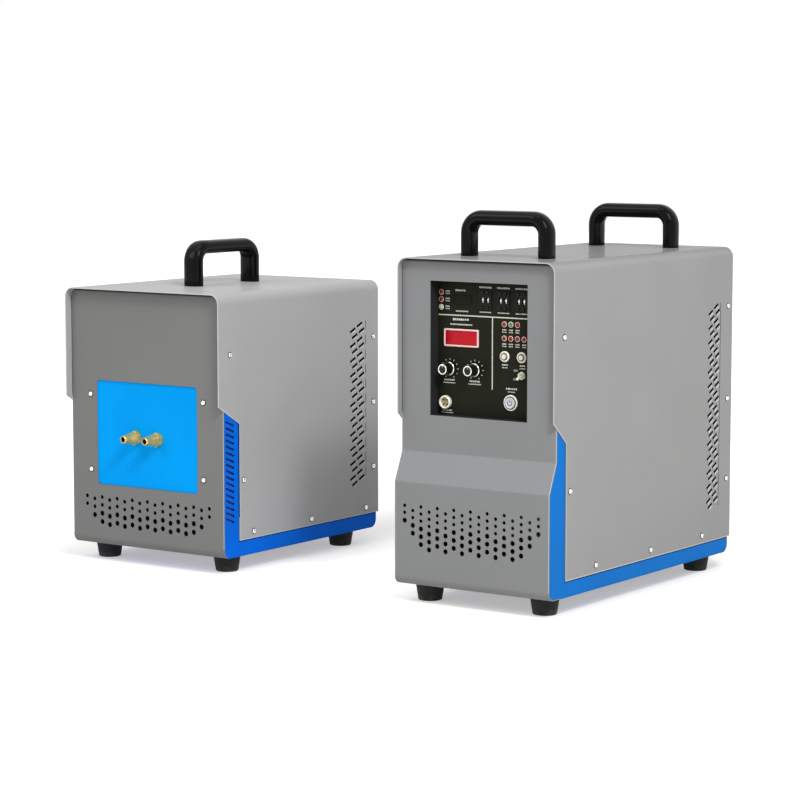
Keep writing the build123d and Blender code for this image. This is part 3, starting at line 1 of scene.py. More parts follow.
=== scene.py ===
"""Looks of a split induction furnace for melting gold: a power cabinet and a heating head.

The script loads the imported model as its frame, and dresses every part of it that stays in sight
with a finish made of shader nodes. It builds finer pieces where the plain solids fall short, and
adds what they leave out: handles, feet, screws, vents' lips, knobs, lamps, buttons, the meter's
frame, prints, digits and brass fittings. Lengths in the text are millimetres, and are turned into
metres once, where a piece is put into its mesh.
"""

from math import cos, pi, radians, sin

import bpy
import numpy as np
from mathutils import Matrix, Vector


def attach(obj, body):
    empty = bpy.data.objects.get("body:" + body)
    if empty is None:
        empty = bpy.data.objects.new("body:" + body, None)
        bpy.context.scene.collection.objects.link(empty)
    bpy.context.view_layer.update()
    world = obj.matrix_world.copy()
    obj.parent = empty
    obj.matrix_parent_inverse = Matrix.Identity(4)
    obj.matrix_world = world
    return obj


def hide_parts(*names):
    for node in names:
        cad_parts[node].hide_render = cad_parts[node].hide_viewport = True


bl_info = {
    "name": "Split induction furnace",
    "version": (1, 0, 0),
    "blender": (4, 5, 0),
    "location": "3D View > Sidebar > Furnace",
    "description": "Builds the looks of a gold melting furnace round its packed model",
    "category": "Add Mesh",
}

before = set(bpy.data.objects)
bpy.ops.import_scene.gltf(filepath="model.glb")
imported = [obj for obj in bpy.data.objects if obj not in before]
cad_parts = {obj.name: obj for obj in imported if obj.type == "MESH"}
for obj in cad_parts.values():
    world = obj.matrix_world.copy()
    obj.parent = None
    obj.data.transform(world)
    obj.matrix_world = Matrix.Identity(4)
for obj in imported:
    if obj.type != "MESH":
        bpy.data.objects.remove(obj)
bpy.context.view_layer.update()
MM = 0.001

# ------------------------------------------------------------------ places, the same as the solids'
# Lengths of a case count from its corner: x from its middle, y from its hood, z from the bench.
MAIN = np.array((292.5, -242.5, 0.0))
HEAD = np.array((-272.5, -248.5, 0.0))
CABINET, HEATER = "power_cabinet", "heating_head"
RIGHT, REAR, UP = np.eye(3)
FRONT = -REAR
SIDES = (-1, 1)
SHEET = 1.5
LEVEL = 24.0                                # a case's floor above the bench
CASES = (
    {"name": "main", "body": CABINET, "corner": MAIN, "half": 122.5, "depth": 482.0, "top": 461.0,
     "hood": 254.0, "notch": (31.0, 226.0), "skirt": 46.0,
     "folds": [(-8.0, 36.0), (-8.0, 163.0), (9.0, 203.0), (9.0, 252.0)],
     "feet": (90.5, (32.0, 440.0)), "bolts": [(x, y) for y in (80.0, 411.5) for x in (-60.5, 60.5)],
     "screws": [(24.0, 364.5), (40.5, 163.0), (469.0, 378.0), (469.0, 246.0), (469.0, 131.0),
                (107.0, 57.0), (253.0, 57.0), (399.0, 57.0)],
     "front_screws": [],
     "slots": (28, 10.25, 17.8, 5.2, radians(27), 411.6, LEVEL + 344.2, 13.6, 3.8),
     "lines": [(446.0, 94.0, 384.0)], "ports_y": 478.0,
     "ports": [(-88.0, 76.0), (-52.0, 76.0), (-10.0, 76.0), (26.0, 76.0)]},
    {"name": "head", "body": HEATER, "corner": HEAD, "half": 142.5, "depth": 384.0, "top": 399.0,
     "hood": 241.0, "notch": (46.0, 214.0), "skirt": 47.0,
     "folds": [(12.0, 38.0), (12.0, 239.0)],
     "feet": (110.5, (56.0, 330.0)), "bolts": [(0.0, 121.0), (0.0, 253.0)],
     "screws": [(25.6, 313.0), (55.3, 133.0), (371.0, 315.0), (371.0, 216.0), (371.0, 118.0),
                (77.5, 57.0), (214.5, 57.0), (351.5, 57.0)],
     "front_screws": [(x, z) for x in (-105.0, 105.0) for z in (134.5, 244.5)],
     "slots": (22, 11.1, 18.8, 5.4, radians(23.5), 312.1, LEVEL + 300.6, 14.8, 3.8),
     "lines": [(351.0, LEVEL + 303.0 - 22.2 * i, LEVEL + 317.0 - 22.2 * i) for i in range(11)],
     "ports_y": 380.0, "ports": [(-60.0, 174.0), (60.0, 174.0), (-60.0, 84.0), (60.0, 84.0)]})

# The control panel's own x and z count from its middle.
WINDOW_Z = 341.75
PANEL_Y = 28.0
SETTERS = {"heat": -1.2, "hold": 26.8, "cool": 54.8}
SETTER_Z = 65.3
DIGIT_PITCH = 8.1
WHEEL_AXLE_Y = PANEL_Y - 1.5 + 8.6
KNOBS = {"heat_power": -56.8, "hold_power": -17.2}
KNOB_Z = -27.5
METER, TIMER = (-38.3, 13.8), (-37.0, 64.0)
LAMP_X, LAMP_PITCH = 28.5, 10.2
LAMP_ROWS = ((35.0, (1, 2, 1)), (16.5, (1, 1, 1, 1)))   # z, and a finish for each lamp
LEFT_LAMPS = ((73.5, 1), (63.8, 1), (53.6, 3))
LEFT_LAMP_X = -70.5
BUTTONS, BUTTON_Z = {"start": 29.7, "stop": 55.9}, -7.2
POWER, TOGGLE, SOCKET = (39.3, -67.5), (56.0, -31.0), (-62.5, -72.5)
CONTACT = 0.01                              # how far thin print and lines stand off a face


def linear(red, green, blue):
    """A colour as screens write it, 0 to 255, turned into the linear light that shaders use."""
    share = np.array((red, green, blue)) / 255.0
    light = np.where(share <= 0.04045, share / 12.92, ((share + 0.055) / 1.055) ** 2.4)
    return tuple(float(c) for c in light)


# ------------------------------------------------------------------ what a user would change
def length(name, text, default):
    """A length property, in metres, from a default in millimetres."""
    return bpy.props.FloatProperty(name=name, description=text, default=default * MM, min=0.0,
                                   unit="LENGTH", subtype="DISTANCE", precision=4)


def count(name, text, default):
    """A whole-number property."""
    return bpy.props.IntProperty(name=name, description=text, default=default, min=3)


def power(name, text, default):
    """A lamp's power property, in watts."""
    return bpy.props.FloatProperty(name=name, description=text, default=default, min=0.0,
                                   unit="POWER")


def colour(name, text, default):
    """A colour property, from a default as screens write it."""
    return bpy.props.FloatVectorProperty(name=name, description=text, default=linear(*default),
                                         size=3, min=0.0, max=1.0, subtype="COLOR")


class FurnacePaint(bpy.types.PropertyGroup):
    # The head's cover is painted lighter than the cabinet's, and each front panel darker than its
    # cover. This is partly their own tones, and partly painted light and painted shade for the
    # light that falls on each face.
    main_grey: colour("Cabinet grey", "Powder coat of the power cabinet", (154, 154, 155))
    head_grey: colour("Head grey", "Powder coat of the heating head", (176, 176, 177))
    front_grey: colour("Front grey", "Powder coat of the cabinet's front panel", (135, 136, 138))
    head_front_grey: colour("Head front grey", "Powder coat of the head's front panel",
                            (126, 126, 126))
    blue: colour("Blue", "Enamel of the chassis below the cabinet's cover", (16, 117, 205))
    head_blue: colour("Head blue", "Enamel of the chassis below the head's cover", (4, 108, 230))
    azure: colour("Azure", "Face of the coil board", (4, 161, 252))
    panel: colour("Panel", "Printed plate of the controls", (31, 33, 24))
    display: colour("Display", "Filter before the meter's digits", (184, 24, 36))
    bezel: colour("Bezel", "Frame of the meter", (250, 206, 206))
    peel: length("Orange peel", "Width of the ripples in the powder coat", 1.1)


class FurnaceHandles(bpy.types.PropertyGroup):
    thick: length("Thickness", "Of the grips, in the plane of their bow", 20.2)
    main_wide: length("Cabinet grip width", "Across the bow", 25.5)
    head_wide: length("Head grip width", "Across the bow", 30.0)
    bend: length("Bend", "Radius of the centre line at the corners", 20.5)
    main_span: length("Cabinet span", "Between the legs' middles", 121.0)
    main_rise: length("Cabinet rise", "Above the cover", 61.3)
    head_span: length("Head span", "Between the legs' middles", 132.0)
    head_rise: length("Head rise", "Above the cover", 66.2)
    squareness: bpy.props.FloatProperty(name="Squareness", description="2 is an ellipse, more is "
                                        "squarer", default=2.5, min=2.0, max=6.0)


class FurnaceKnobs(bpy.types.PropertyGroup):
    skirt: length("Skirt", "Radius of the skirt", 9.2)
    cap: length("Cap", "Radius at the foot of the cap", 7.6)
    tip: length("Tip", "Radius at the top of the cap", 7.0)
    height: length("Height", "From the panel to the top", 18.4)
    flutes: count("Flutes", "Grooves round the cap", 18)
    depth: length("Flute depth", "Depth of a groove", 0.35)


class FurnacePrint(bpy.types.PropertyGroup):
    ink: colour("Ink", "Colour of the lines and marks", (214, 217, 208))
    line: length("Line", "Width of the lines between the groups", 1.5)
    ticks: count("Ticks", "Marks round a knob", 11)
    tick_radius: length("Tick circle", "Radius of the marks' middles", 12.6)


class FurnaceLight(bpy.types.PropertyGroup):
    ambient: bpy.props.FloatProperty(name="Room", description="Level of the light from all round",
                                     default=0.48, min=0.0, max=2.0)
    key: power("Key", "Power of the light at the right", 43.0)
    top: power("Top", "Power of the light overhead", 12.0)
    spark: power("Spark", "Power of the small lamp beside the key", 34.0)
    fill: power("Fill", "Power of the light before the fronts", 22.0)


class FurnaceSettings(bpy.types.PropertyGroup):
    paint: bpy.props.PointerProperty(type=FurnacePaint)
    handles: bpy.props.PointerProperty(type=FurnaceHandles)
    knobs: bpy.props.PointerProperty(type=FurnaceKnobs)
    marks: bpy.props.PointerProperty(type=FurnacePrint)
    light: bpy.props.PointerProperty(type=FurnaceLight)


def settings():
    """The scene's own copy of every property."""
    return bpy.context.scene.furnace


# ------------------------------------------------------------------ shader maths
class Value:
    """One output of a node. Arithmetic on it adds Math nodes, or Vector Math nodes for a vector."""

    def __init__(self, finish, socket):
        self.finish = finish
        self.socket = socket

    def joined(self, operation, first, second):
        vector = any(isinstance(v, Value) and v.socket.type == "VECTOR" for v in (first, second))
        if not vector:
            return self.finish.node("Math", {"operation": operation}, {0: first, 1: second})
        pair = [v if isinstance(v, Value) or np.ndim(v) else (v, v, v) for v in (first, second)]
        return self.finish.node("VectorMath", {"operation": operation}, {0: pair[0], 1: pair[1]})

    def __add__(self, other):
        return self.joined("ADD", self, other)

    def __radd__(self, other):
        return self.joined("ADD", other, self)

    def __sub__(self, other):
        return self.joined("SUBTRACT", self, other)

    def __rsub__(self, other):
        return self.joined("SUBTRACT", other, self)

    def __mul__(self, other):
        return self.joined("MULTIPLY", self, other)

    def part(self, index):
        """One of a vector's three numbers."""
        return self.finish.node("SeparateXYZ", None, {0: self}, output=index)

    def step(self, low, high):
        """0 below low, 1 above high, smooth between them."""
        return self.finish.node("MapRange", {"interpolation_type": "SMOOTHSTEP"},
                                {"Value": self, "From Min": low, "From Max": high})

    def most(self, other):
        return self.joined("MAXIMUM", self, other)


class Finish:
    """A material's graph, built round one Principled shader."""

    def __init__(self, name):
        self.material = bpy.data.materials.new(name)
        self.material.use_nodes = True
        self.tree = self.material.node_tree
        self.tree.nodes.clear()
        self.output = self.tree.nodes.new("ShaderNodeOutputMaterial")
        self.shader = self.tree.nodes.new("ShaderNodeBsdfPrincipled")
        self.tree.links.new(self.shader.outputs[0], self.output.inputs["Surface"])
        self.place = None

    def fill(self, entry, value):
        """Links a socket, or gives it its number or colour."""
        if isinstance(value, Value):
            self.tree.links.new(value.socket, entry)
        elif entry.type == "RGBA":
            entry.default_value = (*value, 1.0)
        else:
            entry.default_value = value

    def node(self, kind, values=None, sockets=None, output=0):
        """A new node of a kind: its settings first, then each socket's number, colour or link."""
        made = self.tree.nodes.new("ShaderNode" + kind)
        for key, value in (values or {}).items():
            setattr(made, key, value)
        for key, value in (sockets or {}).items():
            self.fill(made.inputs[key], value)
        return Value(self, made.outputs[output])

    def object_place(self):
        """Where a point is, in the object's own coordinates."""
        if self.place is None:
            self.place = self.node("TexCoord", output=3)
        return self.place

    def noise(self, scale, detail=2.0, roughness=0.5, stretch=None):
        """Smooth noise of so many cells to the metre, stretched along an axis if asked."""
        place = self.object_place()
        if stretch is not None:
            place = self.node("Mapping", None, {"Vector": place, "Scale": stretch})
        return self.node("TexNoise", None, {"Vector": place, "Scale": scale, "Detail": detail,
                                            "Roughness": roughness})

    def cells(self, scale):
        """Distance to the nearest of many scattered points."""
        return self.node("TexVoronoi", None, {"Vector": self.object_place(), "Scale": scale})

    def mix(self, factor, first, second):
        """A colour between two, by a factor."""
        made = self.tree.nodes.new("ShaderNodeMix")
        made.data_type = "RGBA"
        entries = {"Factor_Float": factor, "A_Color": first, "B_Color": second}
        for identifier, value in entries.items():
            self.fill(next(s for s in made.inputs if s.identifier == identifier), value)
        return Value(self, next(s for s in made.outputs if s.identifier == "Result_Color"))

    def bump(self, height, distance, strength):
        """Ripples of a height between 0 and 1, of a distance in metres."""
        return self.node("Bump", None,
                         {"Height": height, "Distance": distance, "Strength": strength})

    def inside(self, low, high, soft=0.15):
        """1 between two corners, given in millimetres, and 0 outside them."""
        place = self.object_place()
        whole = None
        for axis in range(3):
            along = place.part(axis)
            part = (along.step((low[axis] - soft) * MM, (low[axis] + soft) * MM)
                    * (1.0 - along.step((high[axis] - soft) * MM, (high[axis] + soft) * MM)))
            whole = part if whole is None else whole * part
        return whole

    def toned(self, tone, boxes):
        """A colour that turns to another inside boxes of (low, high, soft edge, other colour)."""
        for low, high, soft, other in boxes:
            tone = self.mix(self.inside(low, high, soft), tone, other)
        return tone

    def set(self, **inputs):
        """Numbers, colours or links for the Principled shader, underscores standing for spaces."""
        for key, value in inputs.items():
            self.fill(self.shader.inputs[key.replace("_", " ")], value)
        return self.material


def shade(colour_value, factor):
    """A colour made darker or lighter by a factor."""
    return tuple(min(1.0, c * factor) for c in colour_value)


# ------------------------------------------------------------------ finishes
def powder_coat(name, base, gloss=0.04, fleck=0.05, areas=(), coat=0.0):
    """Satin powder coat: orange-peel ripples, a faint cloudiness, fine flecks, handling marks."""
    finish = Finish(name)
    ripples = finish.noise(1.0 / settings().paint.peel, 1.0)
    clouds = finish.noise(7.0, 3.0)
    flecks = finish.noise(2600.0, 0.0)
    smears = finish.noise(26.0, 4.0, 0.65, stretch=(1.0, 1.0, 0.35))
    tone = finish.mix(clouds.step(0.3, 0.7), shade(base, 0.975), shade(base, 1.02))
    tone = finish.mix(flecks.step(0.45, 0.7) * fleck, tone, shade(base, 1.5))
    tone = finish.toned(tone, areas)
    rough = 0.5 + (smears.step(0.45, 0.75) - 0.3) * 0.07 + (ripples - 0.5) * 0.08
    return finish.set(Base_Color=tone, Roughness=rough, Specular_IOR_Level=gloss, Coat_Weight=coat,
                      Coat_Roughness=0.12, Normal=finish.bump(ripples, 0.00006, 0.8))


def enamel(name, base, gloss=0.03, areas=()):
    """Smooth blue enamel on sheet, with a faint gloss and settled dust."""
    finish = Finish(name)
    ripples = finish.noise(700.0, 1.0)
    clouds = finish.noise(9.0, 3.0)
    grit = finish.noise(1500.0, 2.0)
    tone = finish.mix(clouds.step(0.25, 0.75), shade(base, 0.93), shade(base, 1.04))
    tone = finish.mix(grit.step(0.62, 0.8) * 0.18, tone, shade(base, 0.6))
    tone = finish.toned(tone, areas)
    rough = 0.4 + (clouds - 0.5) * 0.12 + (grit - 0.5) * 0.08
    return finish.set(Base_Color=tone, Roughness=rough, Specular_IOR_Level=gloss,
                      Normal=finish.bump(ripples, 0.00004, 0.7))


def moulded(name, base, roughness=0.4, texture=0.00003, scale=1800.0, specular=0.5):
    """Moulded plastic: a fine spark-eroded grain and a faint variation of gloss."""
    finish = Finish(name)
    grain = finish.noise(scale, 2.0)
    clouds = finish.noise(40.0, 2.0)
    tone = finish.mix(clouds, shade(base, 0.94), shade(base, 1.06))
    rough = roughness + (clouds - 0.5) * 0.1 + (grain - 0.5) * 0.1
    return finish.set(Base_Color=tone, Roughness=rough, Specular_IOR_Level=specular,
                      Normal=finish.bump(grain, texture, 0.7))


def rubber(name, base):
    """Dull rubber with a pebbled skin and pale dust near the bench."""
    finish = Finish(name)
    pebbles = finish.cells(1400.0)
    dust = finish.noise(120.0, 3.0)
    low = 1.0 - finish.object_place().part(2).step(0.0, 0.012)
    tone = finish.mix(low * dust.step(0.4, 0.7) * 0.35, base, linear(120, 116, 110))
    return finish.set(Base_Color=tone, Roughness=0.72 + (dust - 0.5) * 0.2,
                      Specular_IOR_Level=0.3, Normal=finish.bump(pebbles, 0.00008, 0.6))


def metal(name, base, roughness=0.28, stretch=None, scale=900.0, wear=0.12, metallic=1.0):
    """Bare or plated metal: fine turning or grinding marks and slightly dulled patches."""
    finish = Finish(name)
    lines = finish.noise(scale, 3.0, 0.6, stretch=stretch)
    patches = finish.noise(160.0, 3.0)
    tone = finish.mix(patches.step(0.35, 0.7), base, shade(base, 1.0 - wear))
    rough = roughness + (patches - 0.5) * 0.16 + (lines - 0.5) * 0.1
    return finish.set(Base_Color=tone, Metallic=metallic, Roughness=rough,
                      Normal=finish.bump(lines, 0.00002, 0.6))


def printed_plate(name, base):
    """The panel's matt printed film: fine grain and a few soft scuffs."""
    finish = Finish(name)
    grain = finish.noise(3200.0, 1.0)
    clouds = finish.noise(18.0, 3.0)
    scuffs = finish.noise(70.0, 4.0, 0.7, stretch=(1.0, 1.0, 0.2))
    tone = finish.mix(clouds.step(0.3, 0.75), shade(base, 0.86), shade(base, 1.14))
    rough = 0.5 - scuffs.step(0.5, 0.8) * 0.08 + (grain - 0.5) * 0.1
    return finish.set(Base_Color=tone, Roughness=rough, Specular_IOR_Level=0.06,
                      Normal=finish.bump(grain, 0.00002, 0.5))


def ink_print(name, base, glow=0.0):
    """Screen-printed ink, slightly uneven in cover."""
    finish = Finish(name)
    cover = finish.noise(1800.0, 2.0)
    tone = finish.mix(cover.step(0.3, 0.65), shade(base, 0.8), base)
    return finish.set(Base_Color=tone, Roughness=0.55 + (cover - 0.5) * 0.1,
                      Emission_Color=base, Emission_Strength=glow)


def filter_window(name, base, glow=0.0):
    """Tinted filter of a display: deep colour, with painted shade along its top and left edges,
    where the frame shades it.
    """
    top_band, left_band = (0.3620, 0.3640), (0.2312, 0.2326)      # z and x in metres
    finish = Finish(name)
    clouds = finish.noise(60.0, 2.0)
    tone = finish.mix(clouds.step(0.3, 0.7), shade(base, 0.92), shade(base, 1.05))
    place = finish.object_place()
    edge = place.part(2).step(*top_band).most(1.0 - place.part(0).step(*left_band))
    tone = finish.mix(edge * 0.6, tone, shade(base, 0.3))
    return finish.set(Base_Color=tone, Roughness=0.2 + clouds * 0.06, Specular_IOR_Level=0.12,
                      Emission_Color=base, Emission_Strength=glow)


def lens(name, base, glow):
    """Tinted lamp lens: clear gloss over a deep colour, and a painted highlight that lightens its
    colour towards its rim.
    """
    finish = Finish(name)
    clouds = finish.noise(500.0, 1.0)
    rim = finish.node("LayerWeight", None, {"Blend": 0.35}, output=1)
    tone = finish.mix(rim.step(0.25, 0.9), shade(base, 0.75), shade(base, 1.9))
    return finish.set(Base_Color=tone, Roughness=0.12 + clouds * 0.08, Specular_IOR_Level=0.4,
                      Emission_Color=base, Emission_Strength=glow)


def circuit_board(name, base):
    """Solder mask over copper: grid of tracks and pads."""
    finish = Finish(name)
    place = finish.object_place()
    tracks = finish.node("TexBrick", {"offset": 0.5}, {
        "Vector": finish.node("Mapping", None, {"Vector": place, "Rotation": (pi / 2, 0.0, 0.0)}),
        "Scale": 60.0, "Color1": base, "Color2": shade(base, 1.4), "Mortar": shade(base, 2.2),
        "Mortar Size": 0.012})
    return finish.set(Base_Color=tracks, Roughness=0.35 + finish.noise(300.0) * 0.1)


FINISHES = {}
# Near-black for painted shade. It is the default colour of an area, and darkens inner faces that
# stay in shade inside the cases.
INSIDE_SHADE = (0.006, 0.006, 0.007)


def area(centre, x, y, z, soft=0.15, other=INSIDE_SHADE):
    """A box by its ranges of x, y and z from a case's corner, with its soft edge and colour."""
    low, high = np.array((x, y, z), float).T
    return (centre + low, centre + high, soft, other)


def seams(case, base):
    """The shadow where a front panel meets the hood round it: at both sides and at the top."""
    other, corner, low = shade(base, 0.22), case["corner"], case["hood"]
    half, top = case["half"] - SHEET, case["top"] - SHEET
    return [area(corner, (half - 1.5, half + 3), (-30, 60), (low, top + 3), 0.5, other),
            area(corner, (-half - 3, -half + 1.0), (-30, 60), (low, top + 3), 0.5, other),
            area(corner, (-half - 3, half + 3), (-30, 60), (top - 3.4, top + 5), 1.6, other)]


def gaps(case, base):
    """The shadow beside a cover's cut: before its upright edge, and under its lower one."""
    other, corner, low = shade(base, 0.25), case["corner"], case["skirt"]
    y, z = case["notch"]
    return [area(corner, (-150, 150), (y - 0.8, y + 9), (low - 1.8, z), 0.2, other),
            area(corner, (-150, 150), (y, case["depth"] - 8), (low - 2.0, low + 3), 0.2, other)]


def recipes():
    """Every finish by its name: its maker, its colour and its other settings."""
    paint = settings().paint
    main, head = CASES
    front, head_front = tuple(paint.front_grey), tuple(paint.head_front_grey)
    # In each list below, a box without a colour of its own paints inner faces near-black: painted
    # shade inside the cases.
    main_cover = [
        area(MAIN, (-122.25, 122.25), (40, 474), (80, 400)),
        # Painted shade: the top of the cabinet's cover is painted darker than its sides.
        area(MAIN, (-130, 130), (-1, 490), (458, 470), 4.0, shade(paint.main_grey, 0.68)),
        # Painted highlight: a strip along the cabinet cover's front edge is painted lighter.
        area(MAIN, (-130, 130), (-5, 0.35), (40, 470), 0.15, shade(paint.main_grey, 1.5))]
    head_cover = [
        area(HEAD, (-142.25, 142.25), (40, 376), (80, 340)),
        # Painted highlight: a strip along the head cover's front edge is painted lighter.
        area(HEAD, (-150, 150), (-5, 0.35), (40, 410), 0.15, shade(paint.head_grey, 1.35))]
    main_front = [
        area(MAIN, (-118, 118), (-7.7, 18), (45, 140)), *seams(main, front),
        # Painted light: the front panel's upward-facing slope is painted lighter, for the light
        # from above.
        area(MAIN, (-125, 125), (-9, 12), (163, 203), 0.5, shade(front, 1.09))]
    main_inside = [area(MAIN, (-120.3, 120.3), (-6, 477.2), (25.2, 470)), *gaps(main, paint.blue)]
    head_inside = [area(HEAD, (-140.3, 140.3), (13.6, 379.2), (25.2, 400)),
                   *gaps(head, paint.head_blue)]
    return {
        "cabinet_grey": (powder_coat, paint.main_grey,
                         dict(gloss=0.02, areas=main_cover, coat=0.25)),
        "cabinet_front_grey": (powder_coat, front, dict(areas=main_front)),
        "head_grey": (powder_coat, paint.head_grey, dict(areas=head_cover, coat=0.1)),
        "head_front_grey": (powder_coat, head_front, dict(areas=[
            area(HEAD, (-138, 138), (12.3, 40), (42, 115)), *seams(head, head_front)])),
        # Painted highlight: the grey painted much lighter, for the bright lines along edges and
        # folds.
        "edge_pale": (powder_coat, shade(paint.main_grey, 1.9), {}),
        # Painted highlight: the vents' lips are painted much lighter than the cover.
        "lip_grey": (powder_coat, shade(paint.main_grey, 1.6), {}),
        "box_black": (powder_coat, linear(44, 44, 47), dict(gloss=0.03, fleck=0.02)),
        "cabinet_blue": (enamel, paint.blue, dict(areas=main_inside)),
        "head_blue": (enamel, paint.head_blue, dict(areas=head_inside)),
        "azure_board": (enamel, paint.azure, dict(gloss=0.02)),
        "handle_black": (moulded, linear(7, 7, 8), dict(roughness=0.09, texture=0.000003,
                                                        scale=900.0, specular=0.12)),
        "timer_filter": (moulded, linear(26, 30, 24), dict(roughness=0.3, specular=0.06)),
        "knob_black": (moulded, linear(18, 18, 19), dict(roughness=0.34, specular=0.25)),
        "setter_black": (moulded, linear(30, 33, 27), dict(roughness=0.45, specular=0.08)),
        "key_black": (moulded, linear(16, 17, 16), dict(specular=0.1)),
        "wheel_black": (moulded, linear(22, 23, 22), dict(specular=0.1)),
        "meter_frame": (moulded, paint.bezel, dict(roughness=0.3)),
        "cap_pale": (moulded, linear(226, 222, 206), dict(roughness=0.32)),
        "cap_violet": (moulded, linear(206, 204, 214), dict(roughness=0.3)),
        "button_side": (moulded, linear(112, 106, 90), {}),
        "insert_tan": (moulded, linear(186, 170, 130), {}),
        "pin_brown": (moulded, linear(52, 36, 24), dict(roughness=0.3)),
        # Painted reflection: the collars are tinted pink and green, for the lenses' colour
        # reflected in them.
        "lamp_ring": (moulded, linear(228, 180, 168), dict(roughness=0.35)),
        "lamp_ring_green": (moulded, linear(204, 212, 192), dict(roughness=0.35)),
        "fan_black": (moulded, linear(30, 30, 32), dict(roughness=0.5)),
        "breaker_grey": (moulded, linear(196, 197, 196), dict(roughness=0.45)),
        "core_black": (moulded, linear(44, 42, 42), dict(roughness=0.7)),
        "case_amber": (moulded, linear(176, 120, 40), dict(roughness=0.35)),
        "foot_rubber": (rubber, linear(28, 28, 28), {}),
        "zinc_steel": (metal, linear(236, 236, 232), dict(roughness=0.22, wear=0.05)),
        "bright_metal": (metal, linear(232, 230, 222),
                         dict(roughness=0.16, scale=1400.0, wear=0.06)),
        "gold_brass": (metal, linear(255, 208, 118),
                       dict(roughness=0.2, scale=1200.0, metallic=0.7)),
        "plate_aluminium": (metal, linear(190, 192, 194),
                            dict(roughness=0.42, stretch=(1.0, 8.0, 1.0))),
        "ring_cream": (metal, linear(250, 246, 232),
                       dict(roughness=0.3, wear=0.04, metallic=0.08)),
        "panel_plate": (printed_plate, paint.panel, {}),
        "panel_ink": (ink_print, settings().marks.ink, {}),
        "dark_ink": (ink_print, linear(24, 24, 24), {}),
        # Painted shade, seen through the head's slots.
        "slot_navy": (ink_print, linear(2, 40, 128), {}),
        "mark_dim": (ink_print, linear(74, 76, 70), {}),
        # Painted light: the digits glow though no lamp is behind them, against the shade of their
        # recessed windows.
        "digit_white": (ink_print, linear(250, 250, 248), dict(glow=0.6)),
        "meter_filter": (filter_window, paint.display, dict(glow=0.04)),
        "lens_red": (lens, linear(120, 18, 20), dict(glow=0.05)),
        "lens_green": (lens, linear(84, 140, 96), dict(glow=0.1)),
        "lens_pale": (lens, linear(190, 194, 160), dict(glow=0.15)),
        "board_green": (circuit_board, linear(24, 92, 52), {}),
    }


def named_finish(name):
    """One of the finishes by its name, made when it is first asked for."""
    if name not in FINISHES:
        maker, base, options = recipes()[name]
        FINISHES[name] = maker(name, tuple(base), **options)
    return FINISHES[name]


def dress(finishes):
    """Gives nodes of the frame their finish, on each object's own slots."""
    for node, finish in finishes.items():
        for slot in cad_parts[node].material_slots:
            slot.link = "OBJECT"
            slot.material = named_finish(finish)


# ------------------------------------------------------------------ shapes as arrays
def spaced(steps, end=True):
    """So many numbers from 0 to 1."""
    return np.linspace(0.0, 1.0, steps, endpoint=end)


def rounded(corners, radius, steps=6, closed=False):
    """A line through corners with a circular arc at each.

    With unit directions a and b to a corner's two neighbours, the arc touches both runs at
    radius * tan(turn / 2) from the corner, and is the rational quadratic between those points whose
    middle weight is cos(turn / 2). No arc takes more than 0.49 of a run. The radius is one number,
    or one for each corner.
    """
    corners = np.asarray(corners, float)
    before = np.roll(corners, 1, 0) - corners
    after = np.roll(corners, -1, 0) - corners
    size_before = np.linalg.norm(before, axis=1, keepdims=True)
    size_after = np.linalg.norm(after, axis=1, keepdims=True)
    a = before / np.maximum(size_before, 1e-9)
    b = after / np.maximum(size_after, 1e-9)
    turn = pi - np.arccos(np.clip((a * b).sum(1, keepdims=True), -1.0, 1.0))
    radius = np.broadcast_to(np.asarray(radius, float).reshape(-1, 1), (len(corners), 1))
    reach = radius * np.tan(np.minimum(turn, 3.0) / 2)
    reach = np.minimum(reach, 0.49 * np.minimum(size_before, size_after))
    if not closed:
        reach = reach.copy()
        reach[[0, -1]] = 0.0
    t = spaced(steps).reshape(1, -1, 1)
    weight = np.cos(turn / 2)[:, None]
    w0, w1, w2 = (1 - t) ** 2, 2 * t * (1 - t) * weight, t ** 2
    start = (corners + a * reach)[:, None]
    finish = (corners + b * reach)[:, None]
    arcs = (w0 * start + w1 * corners[:, None] + w2 * finish) / (w0 + w1 + w2)
    line = arcs.reshape(-1, corners.shape[1])
    keep = np.ones(len(line), bool)
    keep[1:] = np.linalg.norm(np.diff(line, axis=0), axis=1) > 1e-6
    if closed and np.linalg.norm(line[0] - line[-1]) < 1e-6:
        keep[-1] = False
    return line[keep]


def oval(half_x, half_y, power=2.0, steps=40):
    """A superellipse: cos and sin of the angle, each to the 2 / power, times the half widths."""
    angle = 2 * pi * spaced(steps, False)
    c, s = np.cos(angle), np.sin(angle)
    return np.stack([half_x * np.sign(c) * np.abs(c) ** (2 / power),
                     half_y * np.sign(s) * np.abs(s) ** (2 / power)], 1)


def box_outline(width, height, corner, steps=4):
    """A rectangle about its middle, with round corners."""
    x, y = width / 2, height / 2
    return rounded([(-x, -y), (x, -y), (x, y), (-x, y)], corner, steps, closed=True)


def around(radius, height, angle):
    """Rings round the height axis: x and y are the radius times cos and sin of the angle."""
    shape = (len(radius), len(angle))
    return np.stack([radius * np.cos(angle), radius * np.sin(angle),
                     np.broadcast_to(height, shape)], 2)


def turned(profile, sides=32):
    """A surface of revolution: each (radius, height) goes round the height axis."""
    profile = np.asarray(profile, float)
    return around(profile[:, :1], profile[:, 1:], 2 * pi * spaced(sides, False))


def collar(corners, radius, steps, sides):
    """A closed profile with round corners, turned round the height axis."""
    return turned(rounded(corners, radius, steps, closed=True), sides)


